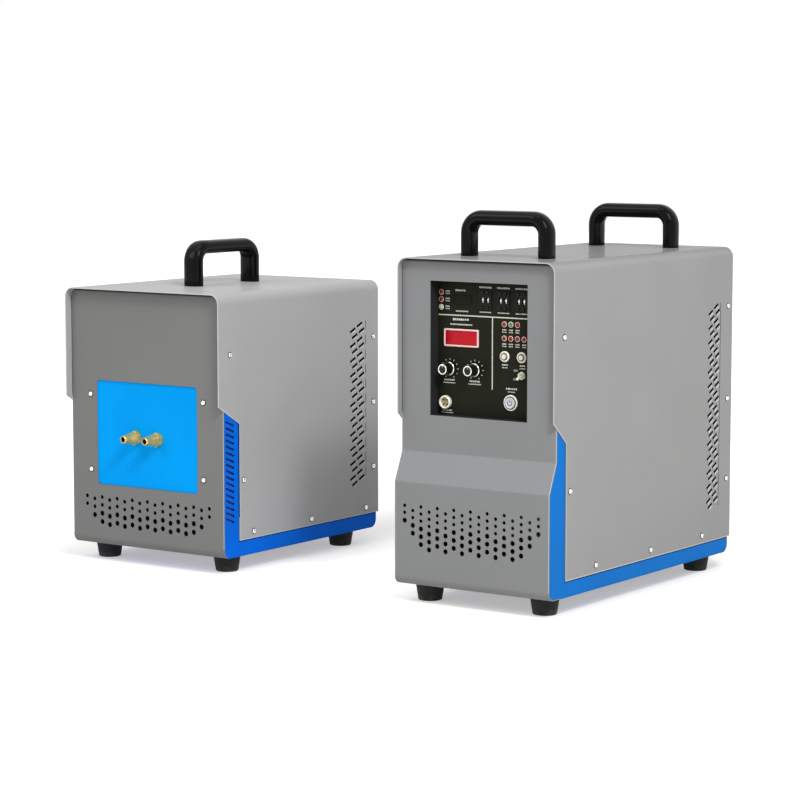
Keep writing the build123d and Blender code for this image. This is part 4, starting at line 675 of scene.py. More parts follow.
def ringed(rows, columns):
    """Rings given as rows of (radius, height, 1 for six-sided or 0 for round).

    A hexagon's radius is to its flats. It is divided by the cosine of the angle from the middle of
    the nearest flat.
    """
    angle = 2 * pi * spaced(columns, False)
    hexagon = 1.0 / np.cos((angle + pi / 6) % (pi / 3) - pi / 6)
    rows = np.array(rows, float)
    radius = rows[:, :1] * np.where(rows[:, 2:] > 0, hexagon, 1.0)
    return around(radius, rows[:, 1:2], angle)


def bar(x0, x1, y0, y1, z=0.0):
    """The four corners of a flat bar, as one patch."""
    return np.array([[(x0, y0, z), (x1, y0, z), (x1, y1, z), (x0, y1, z)]], float)


def on_side(flat, x):
    """Patches of (y, z) points put on the plane at x."""
    return np.concatenate([np.full((*flat.shape[:2], 1), x), flat], 2)


def lofted(outline, steps):
    """Copies of a closed outline at heights, each drawn inwards along its own normals.

    steps are (inset, height) pairs. The normal at a point is the direction between its two
    neighbours, turned a quarter.
    """
    outline = np.asarray(outline, float)
    along = np.roll(outline, -1, 0) - np.roll(outline, 1, 0)
    along /= np.linalg.norm(along, axis=1, keepdims=True)
    inward = np.stack([-along[:, 1], along[:, 0]], 1)
    if ((outline.mean(0) - outline) * inward).sum() < 0:
        inward = -inward
    steps = np.asarray(steps, float)
    flat = outline[None] + steps[:, 0, None, None] * inward[None]
    high = np.broadcast_to(steps[:, 1, None, None], (len(steps), len(outline), 1))
    return np.concatenate([flat, high], 2)


def swept(path, section, across):
    """A section carried along a path that lies in one plane.

    Each section point is path + u * normal + v * across, where across is square to the plane and
    the normal is across x tangent.
    """
    path = np.asarray(path, float)
    across = np.asarray(across, float)
    tangent = np.gradient(path, axis=0)
    tangent /= np.linalg.norm(tangent, axis=1, keepdims=True)
    normal = np.cross(across, tangent)
    section = np.asarray(section, float)
    return (path[:, None] + section[None, :, :1] * normal[:, None]
            + section[None, :, 1:] * across)


def placed(points, origin, x=RIGHT, y=UP, z=FRONT):
    """Local points put at an origin, their own axes turned to x, y and z."""
    return np.asarray(points) @ np.stack([x, y, z]).astype(float) + np.asarray(origin, float)


def frame_along(direction):
    """Two directions square to one, and it."""
    z = np.asarray(direction, float) / np.linalg.norm(direction)
    helper = UP if abs(z[2]) < 0.9 else RIGHT
    x = np.cross(helper, z)
    x /= np.linalg.norm(x)
    return x, np.cross(z, x), z


NO_QUADS, NO_TRIANGLES = np.zeros((0, 4), int), np.zeros((0, 3), int)


class Form:
    """The faces of one piece, gathered as arrays and put into a mesh at the end."""

    def __init__(self):
        self.points, self.quads, self.triangles = [], [], []
        self.quad_kinds, self.triangle_kinds = [], []
        self.size = 0

    def add(self, points, quads, triangles, kind=0):
        """Adds faces that count their points from 0."""
        self.points.append(points)
        self.quads.append(quads + self.size)
        self.triangles.append(triangles + self.size)
        self.quad_kinds.append(np.full(len(quads), kind))
        self.triangle_kinds.append(np.full(len(triangles), kind))
        self.size += len(points)
        return self

    def grid(self, points, kind=0, loop=False):
        """Rows of points that close round themselves. The rows close too, or both ends get a fan.

        The signed volume tells which way the faces look, and all are turned if it is negative.
        """
        rows, columns = points.shape[:2]
        index = np.arange(rows * columns).reshape(rows, columns)
        low = index if loop else index[:-1]
        high = np.roll(index, -1, 0) if loop else index[1:]
        quads = np.stack([low, np.roll(low, -1, 1), np.roll(high, -1, 1), high], -1).reshape(-1, 4)
        flat = points.reshape(-1, 3)
        triangles = NO_TRIANGLES
        if not loop:
            ends = np.stack([points[0].mean(0), points[-1].mean(0)])
            flat = np.concatenate([flat, ends])
            first, last = index[0], index[-1]
            a, b = rows * columns, rows * columns + 1
            start = np.stack([np.roll(first, -1), first, np.full(columns, a)], 1)
            finish = np.stack([last, np.roll(last, -1), np.full(columns, b)], 1)
            triangles = np.concatenate([start, finish])
        every = np.concatenate([quads[:, [0, 1, 2]], quads[:, [0, 2, 3]], triangles])
        p, q, r = (flat[every[:, i]] for i in range(3))
        volume = (p * np.cross(q, r)).sum()
        if volume < 0:
            quads, triangles = quads[:, ::-1], triangles[:, ::-1]
        return self.add(flat, quads, triangles, kind)

    def patches(self, corners, thick, kind=0):
        """Many flat bars at once: (n, 4, 3) corners, each given a thickness along a vector."""
        corners = np.asarray(corners, float)
        number = len(corners)
        both = np.concatenate([corners, corners + np.asarray(thick, float)], 1)
        base = np.arange(number)[:, None, None] * 8
        side = np.array([(0, 3, 2, 1), (4, 5, 6, 7), (0, 1, 5, 4), (1, 2, 6, 5), (2, 3, 7, 6),
                         (3, 0, 4, 7)])
        faces = (base + side[None]).reshape(-1, 4)
        flat = both.reshape(-1, 3)
        tri = np.concatenate([faces[:, [0, 1, 2]], faces[:, [0, 2, 3]]])
        p, q, r = (flat[tri[:, i]] for i in range(3))
        middle = flat.mean(0)
        if ((p - middle) * np.cross(q - middle, r - middle)).sum() < 0:
            faces = faces[:, ::-1]
        return self.add(flat, faces, NO_TRIANGLES, kind)

    def piece(self, name, body, slot, finishes, replaces=(), sharp=38.0):
        """The object: in metres, at the origin, riding on its body. Its slot is not used."""
        points = np.concatenate(self.points) * MM
        quads, triangles = np.concatenate(self.quads), np.concatenate(self.triangles)
        mesh = bpy.data.meshes.new(name)
        mesh.vertices.add(len(points))
        mesh.vertices.foreach_set("co", points.astype(np.float32).ravel())
        corners = np.concatenate([quads.ravel(), triangles.ravel()]).astype(np.int32)
        starts = np.concatenate([np.arange(len(quads)) * 4,
                                 len(quads) * 4 + np.arange(len(triangles)) * 3]).astype(np.int32)
        mesh.loops.add(len(corners))
        mesh.loops.foreach_set("vertex_index", corners)
        mesh.polygons.add(len(starts))
        mesh.polygons.foreach_set("loop_start", starts)
        kinds = np.concatenate(self.quad_kinds + self.triangle_kinds).astype(np.int32)
        mesh.polygons.foreach_set("material_index", kinds)
        for finish in finishes:
            mesh.materials.append(named_finish(finish))
        mesh.update(calc_edges=True)
        mesh.validate()
        mesh.shade_smooth()
        mesh.set_sharp_from_angle(angle=radians(sharp))
        thing = bpy.data.objects.new(name, mesh)
        bpy.context.scene.collection.objects.link(thing)
        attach(thing, body)
        if replaces:
            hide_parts(*replaces)


def on_panel(x, z, out=0.0):
    """A point before the panel's face, from its middle."""
    return MAIN + (x, PANEL_Y - out, WINDOW_Z + z)


def text_mesh(text, size, bold=0.0):
    """The faces of a word as (points, triangles), centred on its middle, in millimetres."""
    curve = bpy.data.curves.new("word", "FONT")
    curve.body = text
    curve.size = size
    curve.offset = bold
    curve.align_x = "CENTER"
    curve.align_y = "CENTER"
    curve.resolution_u = 2
    holder = bpy.data.objects.new("word", curve)
    bpy.context.scene.collection.objects.link(holder)
    graph = bpy.context.evaluated_depsgraph_get()
    mesh = bpy.data.meshes.new_from_object(holder.evaluated_get(graph))
    mesh.calc_loop_triangles()
    points = np.zeros(len(mesh.vertices) * 3)
    mesh.vertices.foreach_get("co", points)
    faces = np.zeros(len(mesh.loop_triangles) * 3, np.int32)
    mesh.loop_triangles.foreach_get("vertices", faces)
    bpy.data.objects.remove(holder)
    bpy.data.meshes.remove(mesh)
    bpy.data.curves.remove(curve)
    return points.reshape(-1, 3), faces.reshape(-1, 3)


def add_text(form, text, size, origin, x=RIGHT, y=UP, z=FRONT):
    """Adds a word's faces to a form, lying on the plane of x and y at a point."""
    points, faces = text_mesh(text, size)
    return form.add(placed(points, origin, x, y, z), NO_QUADS, faces)


# ------------------------------------------------------------------ pieces
class Furnace_OT_cases(bpy.types.Operator):
    """Powder coat and enamel on the sheets of both cases, and the control panel's printed plate"""
    bl_idname = "furnace.cases"
    bl_label = "Cases"

    def execute(self, context):
        dress({"main_cover": "cabinet_grey", "main_front_panel": "cabinet_front_grey",
               "main_tray": "cabinet_blue", "main_side_plates": "cabinet_blue",
               "head_cover": "head_grey", "head_front_panel": "head_front_grey",
               "head_tray": "head_blue", "head_side_plates": "head_blue",
               "coil_board": "azure_board", "control_box": "box_black",
               "control_panel": "panel_plate"})
        return {"FINISHED"}


class Furnace_OT_insides(bpy.types.Operator):
    """Finishes of what stands inside the cases and behind their backs"""
    bl_idname = "furnace.insides"
    bl_label = "Insides"

    def execute(self, context):
        dress({"inverter_block": "plate_aluminium", "control_board": "board_green",
               "transformer": "core_black", "capacitor_bank": "case_amber",
               "fan_frame": "fan_black", "fan_rotor": "fan_black",
               "mains_breaker": "breaker_grey", "breaker_lever": "key_black",
               "setter_housings": "setter_black"})
        for ending, finish in (("_key", "key_black"), ("_wheel", "wheel_black")):
            dress({name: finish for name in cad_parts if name.endswith(ending)})
        return {"FINISHED"}


def bow(origin, ends, wide, rise, across):
    """A bow handle: an oval carried up one leg, over the top and down the other."""
    handles = settings().handles
    half = handles.thick / MM / 2
    top = rise - half
    (x0, y0), (x1, y1) = ends
    path = rounded([(x0, y0, 0.0), (x0, y0, top), (x1, y1, top), (x1, y1, 0.0)],
                   handles.bend / MM, 14)
    section = oval(half, wide / MM / 2, handles.squareness, 48)
    return swept(path, section, across) + origin


class Furnace_OT_handles(bpy.types.Operator):
    """The three bow handles: an oval section carried along a line with two round bends"""
    bl_idname = "furnace.handles"
    bl_label = "Handles"

    def execute(self, context):
        handles = settings().handles
        main, head = CASES
        reach, head_reach = handles.main_span / MM / 2, handles.head_span / MM / 2
        for node, case, ends, wide, rise, across in (
                ("main_front_handle", main, [(-reach, 80.0), (reach, 80.0)],
                 handles.main_wide, handles.main_rise, REAR),
                ("main_rear_handle", main, [(-reach, 411.5), (reach, 411.5)],
                 handles.main_wide, handles.main_rise, REAR),
                ("head_handle", head, [(0, 187.0 - head_reach), (0, 187.0 + head_reach)],
                 handles.head_wide, handles.head_rise, RIGHT)):
            surface = bow(case["corner"] + (0, 0, case["top"]), ends, wide, rise / MM, across)
            Form().grid(surface).piece(node.replace("handle", "grip"), case["body"],
                                       "black_handle", ["handle_black"], [node])
        return {"FINISHED"}


class Furnace_OT_feet(bpy.types.Operator):
    """Rubber feet: a closed profile with soft edges turned round each foot's axis"""
    bl_idname = "furnace.feet"
    bl_label = "Feet"

    def execute(self, context):
        corners = [(19.5, 24.0), (19.2, 20.0), (16.0, 0.0), (9.0, 0.0), (9.0, 12.0), (3.3, 12.0),
                   (3.3, 24.0)]
        foot = collar(corners, [0.8, 2.0, 1.6, 1.2, 0.5, 0.2, 0.2], 4, 40)
        for case in CASES:
            x, places = case["feet"]
            form = Form()
            for side in SIDES:
                for y in places:
                    form.grid(foot + case["corner"] + (side * x, y, 0.0), loop=True)
            form.piece(case["name"] + "_rubber_feet", case["body"], "foot_rubber",
                       ["foot_rubber"], [case["name"] + "_feet"])
        return {"FINISHED"}


def socket_screw():
    """A button-head screw: shank, low dome, and a six-sided socket sunk in its top."""
    bend = 0.95                             # angle of the dome's arc, in radians
    t = spaced(4) * bend
    dome = np.stack([3.6 * np.cos(t), 0.45 + 1.75 * np.sin(t) / sin(bend), 0 * t], 1)
    return ringed([(2.0, -8.0, 0), (2.0, 0.0, 0), (3.5, 0.0, 0), *dome, (1.25, 2.2, 1),
                   (1.2, 1.1, 1)], 24)


def hexagon_bolt(grip):
    """A bolt standing upright, its six-sided head below its seat."""
    flat = 4.76
    return ringed([(flat * 0.93, -4.0, 1), (flat, -3.6, 1), (flat, 0.0, 1), (3.0, 0.0, 0),
                   (3.0, grip, 0)], 24)


class Furnace_OT_screws(bpy.types.Operator):
    """Button-head screws of both cases, with the bolts of handles and feet"""
    bl_idname = "furnace.screws"
    bl_label = "Screws"

    def execute(self, context):
        screw, front_face, foot_seat = socket_screw(), 12.0, 12.0
        # A thin dark ring round each screw's seat: a painted shadow round its head.
        shadow_ring = turned([(3.0, 0.02), (4.5, 0.02), (4.5, 0.1), (3.0, 0.22)], 24)
        for case in CASES:
            corner, (foot_x, foot_ys) = case["corner"], case["feet"]
            seats = [((side * case["half"], y, z), side * RIGHT)
                     for y, z in case["screws"] for side in SIDES]
            seats += [((x, front_face, z), FRONT) for x, z in case["front_screws"]]
            form = Form()
            for seat, direction in seats:
                axes = frame_along(direction)
                form.grid(placed(screw, corner + seat, *axes))
                form.grid(placed(shadow_ring, corner + seat, *axes), 1, loop=True)
            for x, y in case["bolts"]:
                form.grid(hexagon_bolt(12.0) + corner + (x, y, case["top"] - SHEET))
            for y in foot_ys:
                for side in SIDES:
                    form.grid(hexagon_bolt(19.0) + corner + (side * foot_x, y, foot_seat))
            form.piece(case["name"] + "_screws", case["body"], "zinc_steel",
                       ["zinc_steel", "box_black"], [case["name"] + "_fasteners"])
        return {"FINISHED"}


def vent_slots(rows, row, step, shift, slope, front, top, long, wide):
    """Both ends of every slot's lower edge, as (n, 2, 2) pairs of (y, z) from the case's corner.

    A slot's middle is long / 2 + shift * (row is odd) + step * column along the slope from the
    front, and each row lies one row's height below the last.
    """
    i = np.arange(rows)[:, None]
    j = np.arange(2)[None, :]
    along = long / 2 + shift * (i % 2) + step * j
    run, rise = cos(slope), sin(slope)
    middle = np.stack([front + along * run, top - row * i + along * rise], -1).reshape(-1, 1, 2)
    reach = np.array([(-run, -rise), (run, rise)]) * (long - wide) / 2
    drop = np.array((rise, -run)) * wide / 2
    return middle + reach + drop, np.array((rise, -run))


class Furnace_OT_vents(bpy.types.Operator):
    """Pressed lips below the slots of both cases, painted lighter as a painted highlight, and
    behind them a dark line, a painted shadow
    """
    bl_idname = "furnace.vents"
    bl_label = "Vents"

    def execute(self, context):
        lip, line, thin, proud = 2.7, 1.2, 0.04, 0.9
        for case in CASES:
            edge, down = vent_slots(*case["slots"])
            flat = np.concatenate([edge, (edge + down * lip)[:, ::-1]], 1)
            lines = np.concatenate([bar(y, y + line, low, high) for y, low, high in case["lines"]])
            form = Form()
            for side in SIDES:
                x = side * (case["half"] + CONTACT)
                thick = np.array((thin, thin, proud, proud))[:, None] * side * RIGHT
                form.patches(on_side(flat, x) + case["corner"], thick, 0)
                # The dark lines behind the slots are painted shadows of a step at the rear of the
                # slots.
                form.patches(on_side(lines[..., :2], x) + case["corner"], thin * side * RIGHT, 1)
            form.piece(case["name"] + "_vent_lips", case["body"], "grey_cover",
                       ["lip_grey", "box_black"])
        return {"FINISHED"}


class Furnace_OT_edges(bpy.types.Operator):
    """Painted highlights along the covers' cuts and the folds of the front panels, and painted
    shade behind the head's slots
    """
    bl_idname = "furnace.edges"
    bl_label = "Edges"

    def execute(self, context):
        wide, strip, thick, stand = 1.1, 0.8, 0.03, 0.02
        for case in CASES:
            corner, half, low = case["corner"], case["half"], case["skirt"]
            outer = np.array([(0.0, case["hood"]), case["notch"], (case["notch"][0], low),
                              (case["depth"], low)])
            inner = outer + [(0.0, wide * 1.5), (wide, wide * 0.5), (wide, wide), (0.0, wide)]
            flat = np.stack([outer[:-1], outer[1:], inner[1:], inner[:-1]], 1)
            form = Form()
            for side in SIDES:
                form.patches(on_side(flat, side * (half + CONTACT)) + corner,
                             thick * side * RIGHT, 0)
                pair = np.array([[(side * (half - SHEET - a), y - stand, z) for a in (0.0, strip)]
                                 for y, z in case["folds"]])
                strips = np.stack([pair[:-1, 0], pair[1:, 0], pair[1:, 1], pair[:-1, 1]], 1)
                form.patches(strips + corner, thick * FRONT, 0)
            form.piece(case["name"] + "_edge_highlights", case["body"], "grey_cover", ["edge_pale"])
        # Painted shade: a navy sheet behind the head's side slots, for the shaded inside that shows
        # through them.
        form = Form()
        for side in SIDES:
            board = on_side(bar(15, 37, 70, 226)[..., :2], side * 139.1)
            form.patches(board + HEAD, 0.05 * side * RIGHT, 0)
        form.piece("head_slot_shade", HEATER, "blue_plate", ["slot_navy"])
        return {"FINISHED"}


class Furnace_OT_knobs(bpy.types.Operator):
    """Fluted knobs with two bright rings and a pale pointer"""
    bl_idname = "furnace.knobs"
    bl_label = "Knobs"

    def execute(self, context):
        knobs = settings().knobs
        skirt, cap, tip, height = (getattr(knobs, size) / MM
                                   for size in ("skirt", "cap", "tip", "height"))
        columns = knobs.flutes * 6
        angle = 2 * pi * spaced(columns, False)
        groove = (knobs.depth / MM) * (0.5 + 0.5 * np.cos(knobs.flutes * angle)) ** 2
        rows = np.array([(3.0, -12.0, 0), (3.0, 0.5, 0), (skirt - 0.5, 0.5, 0), (skirt, 1.0, 0),
                         (skirt, 3.6, 0), (skirt - 0.6, 4.4, 0), (cap + 0.1, 4.7, 0), (cap, 5.4, 1),
                         ((cap + tip) / 2, height / 2 + 2, 1), (tip + 0.1, height - 1.4, 1),
                         (tip - 0.1, height - 0.5, 0), (tip - 0.9, height, 0),
                         (tip - 1.8, height - 0.1, 0), (tip - 2.3, height - 0.5, 0)])
        radius = rows[:, :1] - rows[:, 2:] * groove
        body = around(radius, rows[:, 1:2], angle)
        skirt_ring = collar([(skirt - 1.2, 4.15), (skirt + 0.1, 3.2), (skirt + 0.1, 4.0),
                             (skirt - 1.0, 4.75)], 0.15, 2, 48)
        cap_ring = collar([(tip - 1.7, height - 0.5), (tip - 0.1, height - 0.7),
                           (tip - 0.2, height), (tip - 1.0, height + 0.2),
                           (tip - 1.7, height + 0.1)], 0.15, 2, 48)
        pointer = bar(-0.25, 0.25, 2.4, tip - 2.4)
        for name, x in KNOBS.items():
            origin = on_panel(x, KNOB_Z)
            form = Form()
            form.grid(placed(body, origin), 0)
            form.grid(placed(skirt_ring, origin), 1, loop=True)
            form.grid(placed(cap_ring, origin), 1, loop=True)
            form.patches(placed(pointer, origin + FRONT * (height - 0.45)), FRONT * 0.25, 2)
            form.piece(name + "_fluted_knob", name + "_knob", "knob_plastic",
                       ["knob_black", "bright_metal", "panel_ink"], [name + "_knob"])
        return {"FINISHED"}


class Furnace_OT_lamps(bpy.types.Operator):
    """Domed lamps in pale collars"""
    bl_idname = "furnace.lamps"
    bl_label = "Lamps"

    def execute(self, context):
        ring = collar([(2.7, 0.0), (3.9, 0.0), (3.9, 0.5), (3.5, 0.9), (2.7, 0.9)], 0.2, 2, 28)
        t = spaced(6)[:, None] * 1.3
        dome = np.concatenate([[(2.68, -7.0), (2.68, 0.8)],
                               np.concatenate([2.6 * np.cos(t), 0.9 + 1.45 * np.sin(t)], 1)])
        bulb = turned(dome, 28)
        lamps = [(LEFT_LAMP_X, z, kind) for z, kind in LEFT_LAMPS]
        lamps += [(LAMP_X + LAMP_PITCH * i, z, kind) for z, kinds in LAMP_ROWS
                  for i, kind in enumerate(kinds)]
        form = Form()
        for x, z, kind in lamps:
            form.grid(placed(ring, on_panel(x, z)), 0 if kind == 1 else 4, loop=True)
            form.grid(placed(bulb, on_panel(x, z)), kind)
        form.piece("domed_lamps", CABINET, "lamp_lens",
                   ["lamp_ring", "lens_red", "lens_green", "lens_pale", "lamp_ring_green"],
                   ["indicator_lamps"])
        return {"FINISHED"}


def button_collar(rim, barrel, bore, groove=0.0):
    """A turned collar: rim before the panel, barrel behind it, its edges rounded."""
    proud = 2.4
    corners = [(bore, -16.0), (barrel, -16.0), (barrel, 0.0), (rim, 0.0), (rim, proud - 0.8),
               (rim - 0.9, proud), (bore + 0.9 + groove, proud), (bore, proud - 0.9)]
    return collar(corners, [0.2, 0.2, 0.1, 0.2, 0.5, 0.5, 0.4, 0.3], 3, 56)


class Furnace_OT_buttons(bpy.types.Operator):
    """Push buttons, their collars, and the toggle with its nut and bush"""
    bl_idname = "furnace.buttons"
    bl_label = "Buttons"

    def execute(self, context):
        collars = Form()
        ring = button_collar(7.2, 6.2, 4.65)
        for name, x in BUTTONS.items():
            origin = on_panel(x, BUTTON_Z)
            collars.grid(placed(ring, origin), 0, loop=True)
            skirt = collar([(3.4, -9.0), (4.6, -9.0), (4.6, 3.4), (4.2, 3.7), (3.4, 3.5)], 0.25,
                           3, 48)
            cap = turned([(3.38, -9.0), (3.38, 3.4), (3.1, 3.75), (2.2, 3.85), (0.8, 3.8)], 48)
            form = Form().grid(placed(skirt, origin), 1, loop=True).grid(placed(cap, origin), 0)
            form.piece(name + "_cap", name + "_button", "pale_plastic",
                       ["cap_pale", "button_side"], [name + "_button"])
        origin = on_panel(*POWER)
        collars.grid(placed(button_collar(10.6, 9.4, 7.45, groove=1.0), origin), 0, loop=True)
        seat = collar([(7.5, 1.2), (8.6, 1.9), (8.6, 2.5), (7.5, 2.3)], 0.1, 2, 56)
        collars.grid(placed(seat, origin), 1, loop=True)
        disc = turned([(7.4, -9.0), (7.4, 3.3), (7.0, 3.8), (6.4, 3.9), (6.0, 3.6), (3.0, 3.55),
                       (0.5, 3.55)], 56)
        t = radians(35) + spaced(28) * radians(290)
        arc = np.stack([3.3 * np.sin(t), 3.3 * np.cos(t), np.full(28, 3.55)], 1)
        mark = swept(arc, [(-0.45, 0.0), (0.45, 0.0), (0.45, 0.12), (-0.45, 0.12)], UP)
        stroke = bar(-0.45, 0.45, 0.9, 4.2, 3.55)
        form = Form().grid(placed(disc, origin), 0).grid(placed(mark, origin), 1)
        form.patches(placed(stroke, origin), FRONT * 0.12, 1)
        form.piece("power_cap", "power_button", "pale_plastic", ["cap_violet", "dark_ink"],
                   ["power_button"])
        origin = on_panel(*TOGGLE)
        flat = 4.85
        nut = ringed([(3.9, 0.0, 0), (flat, 0.0, 1), (flat, 1.6, 1), (flat * 0.95, 2.0, 1),
                      (3.9, 2.0, 0)], 48)
        collars.grid(placed(nut, origin), 0, loop=True)
        bush = collar([(2.4, -8.0), (4.2, -8.0), (4.2, 4.0), (3.8, 4.5), (3.5, 4.5), (2.4, 1.5)],
                      0.2, 3, 40)
        collars.grid(placed(bush, origin), 0, loop=True)
        collars.piece("switch_rings", CABINET, "bright_metal", ["ring_cream", "key_black"],
                      ["switch_collars"])
        x, y, z = frame_along((0.0, -cos(radians(17)), -sin(radians(17))))
        t = spaced(7) * pi / 2
        tip = np.stack([2.0 * np.cos(t), 11.2 + 1.75 * np.sin(t)], 1)[:-1]
        stem = [(0.4, 0.2), (1.2, 0.4), (1.25, 4.0), (1.5, 7.5), (1.95, 10.4)]
        bat = turned(np.concatenate([stem, tip]), 28)
        pin = turned([(1.5, -1.2), (1.5, 1.2)], 20)
        form = Form().grid(placed(bat, origin, x, y, z)).grid(placed(pin, origin, REAR, UP, RIGHT))
        form.piece("toggle_bat", "toggle_lever", "bright_metal", ["ring_cream"], ["toggle_lever"])
        return {"FINISHED"}


class Furnace_OT_socket(bpy.types.Operator):
    """Four-pin remote socket: a rounded shell, a tan insert and brown pins"""
    bl_idname = "furnace.socket"
    bl_label = "Remote socket"

    def execute(self, context):
        origin = on_panel(*SOCKET)
        shell = collar([(6.6, -8.0), (7.5, -8.0), (7.5, 0.0), (9.0, 0.0), (9.0, 3.8), (8.3, 5.0),
                        (7.0, 5.0), (6.6, 4.4)], [0.1, 0.2, 0.1, 0.3, 0.5, 0.5, 0.3, 0.3], 3, 56)
        insert = turned([(6.58, -8.0), (6.58, 0.2), (6.2, 0.5), (1.0, 0.5)], 40)
        pin = turned([(0.8, 0.2), (0.8, 3.4), (0.6, 3.9), (0.25, 4.0)], 16)
        angle = 2 * pi * (np.arange(4) + 0.5) / 4
        form = Form().grid(placed(shell, origin), 0, loop=True).grid(placed(insert, origin), 1)
        for c, s in zip(np.cos(angle), np.sin(angle)):
            form.grid(placed(pin + (4.2 * c, 4.2 * s, 0.0), origin), 2)
        key = bar(-0.9, 0.9, 5.4, 6.6, 0.4)
        form.patches(placed(key, origin), FRONT * 3.6, 1)
        form.piece("socket_shell", CABINET, "bright_metal",
                   ["ring_cream", "insert_tan", "pin_brown"], ["remote_socket"])
        return {"FINISHED"}


class Furnace_OT_meter(bpy.types.Operator):
    """The meter's rounded frame, and the filters of meter and timer"""
    bl_idname = "furnace.meter"
    bl_label = "Meter"

    def execute(self, context):
        outline = box_outline(54.5, 23.7, 1.6, 5)
        steps = rounded([(0.0, 0.0), (0.0, 1.3), (0.8, 2.0), (1.7, 2.0), (2.35, 1.5), (2.35, -1.0)],
                        0.35, 3, closed=True)
        form = Form().grid(placed(lofted(outline, steps), on_panel(*METER)), loop=True)
        form.piece("meter_frame", CABINET, "pale_bezel", ["meter_frame"], ["meter_bezel"],
                   sharp=50.0)
        panes = Form()
        for middle, width, height, out, kind in ((METER, 49.45, 18.65, 1.4, 0),
                                                 (TIMER, 28.95, 11.95, 0.6, 1)):
            steps = [(0.0, -3.0), (0.0, out - 0.25), (0.08, out - 0.07), (0.25, out)]
            pane = lofted(box_outline(width, height, 0.5, 3), steps)
            panes.grid(placed(pane, on_panel(*middle)), kind)
        panes.piece("display_filters", CABINET, "red_window", ["meter_filter", "timer_filter"],
                    ["display_windows"])
        return {"FINISHED"}


def dashes(x, z, width, height, seed):
    """A row of short bars of unequal widths, as print too small to read looks."""
    pick = np.random.default_rng(seed)
    number = max(3, int(width / (height * 0.95)))
    bars = pick.uniform(0.55, 1.0, number)
    gaps = pick.uniform(0.22, 0.4, number)
    ends = np.cumsum(bars + gaps)
    scale = width / (ends[-1] - gaps[-1])
    right = (ends - gaps) * scale - width / 2
    left = right - bars * scale
    low = pick.uniform(-0.5, -0.34, number) * height
    high = pick.uniform(0.34, 0.5, number) * height
    corners = np.stack([np.stack([left, low], 1), np.stack([right, low], 1),
                        np.stack([right, high], 1), np.stack([left, high], 1)], 1)
    return corners + (x, z)


class Furnace_OT_print(bpy.types.Operator):
    """Lines, scale marks and small print on the control panel"""
    bl_idname = "furnace.print"
    bl_label = "Panel print"

    def execute(self, context):
        marks = settings().marks
        thin = marks.line / MM / 2
        angle = radians(-150) + spaced(marks.ticks) * radians(300)
        radius = marks.tick_radius / MM
        bars = [bar(-75.0, 75.0, 43.5 - thin, 43.5 + thin)[..., :2],
                bar(10.0 - thin, 10.0 + thin, -52.0, 43.0)[..., :2]]
        for x in KNOBS.values():
            ends = [np.stack([x + r * np.sin(angle) + s * 0.45 * np.cos(angle),
                              KNOB_Z + r * np.cos(angle) - s * 0.45 * np.sin(angle)], 1)
                    for r, s in ((radius - 1.1, -1), (radius - 1.1, 1), (radius + 1.1, 1),
                                 (radius + 1.1, -1))]
            bars.append(np.stack(ends, 1))
        rows = [(-40.5, 76.6, 15.8, 2.6), (-37.8, 49.2, 19.5, 1.8),
                (-39.7, 38.1, 25.0, 3.2), (-39.0, 31.5, 34.5, 2.0),
                (-57.6, -42.6, 16.6, 2.4), (-57.6, -46.4, 19.0, 1.6),
                (-17.6, -42.6, 16.0, 2.4), (-17.6, -46.4, 20.0, 1.6),
                (29.6, -18.2, 8.5, 2.2), (29.6, -21.8, 8.0, 1.5),
                (56.6, -18.2, 8.0, 2.2), (56.6, -21.8, 8.4, 1.5),
                (40.0, -49.2, 16.6, 2.6), (40.0, -53.2, 11.0, 1.5),
                (-61.0, -83.2, 15.0, 1.9), (-61.0, -86.4, 19.0, 1.4)]
        rows += [(x, 81.9, 19.0, 2.6) for x in SETTERS.values()]
        rows += [(x, 49.4, 17.6, 1.7) for x in SETTERS.values()]
        rows += [(-60.6, z + shift, 6.4, size) for z, _ in LEFT_LAMPS
                 for shift, size in ((1.3, 2.0), (-1.8, 1.6))]
        rows += [(LAMP_X + LAMP_PITCH * i, z + shift, 6.0, size) for z, kinds in LAMP_ROWS
                 for i in range(len(kinds)) for shift, size in ((-7.4, 2.0), (-10.4, 1.6))]
        bars += [dashes(*row, seed) for seed, row in enumerate(rows, 7)]
        flat = np.concatenate(bars)
        local = np.concatenate([flat, np.full((*flat.shape[:2], 1), 0.02)], 2)
        form = Form().patches(placed(local, on_panel(0.0, 0.0)), FRONT * 0.06)
        for text, z in (("ON", -25.0), ("OFF", -36.4)):
            add_text(form, text, 4.4, on_panel(46.4, z, 0.08))
        form.piece("panel_print", CABINET, "pale_bezel", ["panel_ink"])
        return {"FINISHED"}


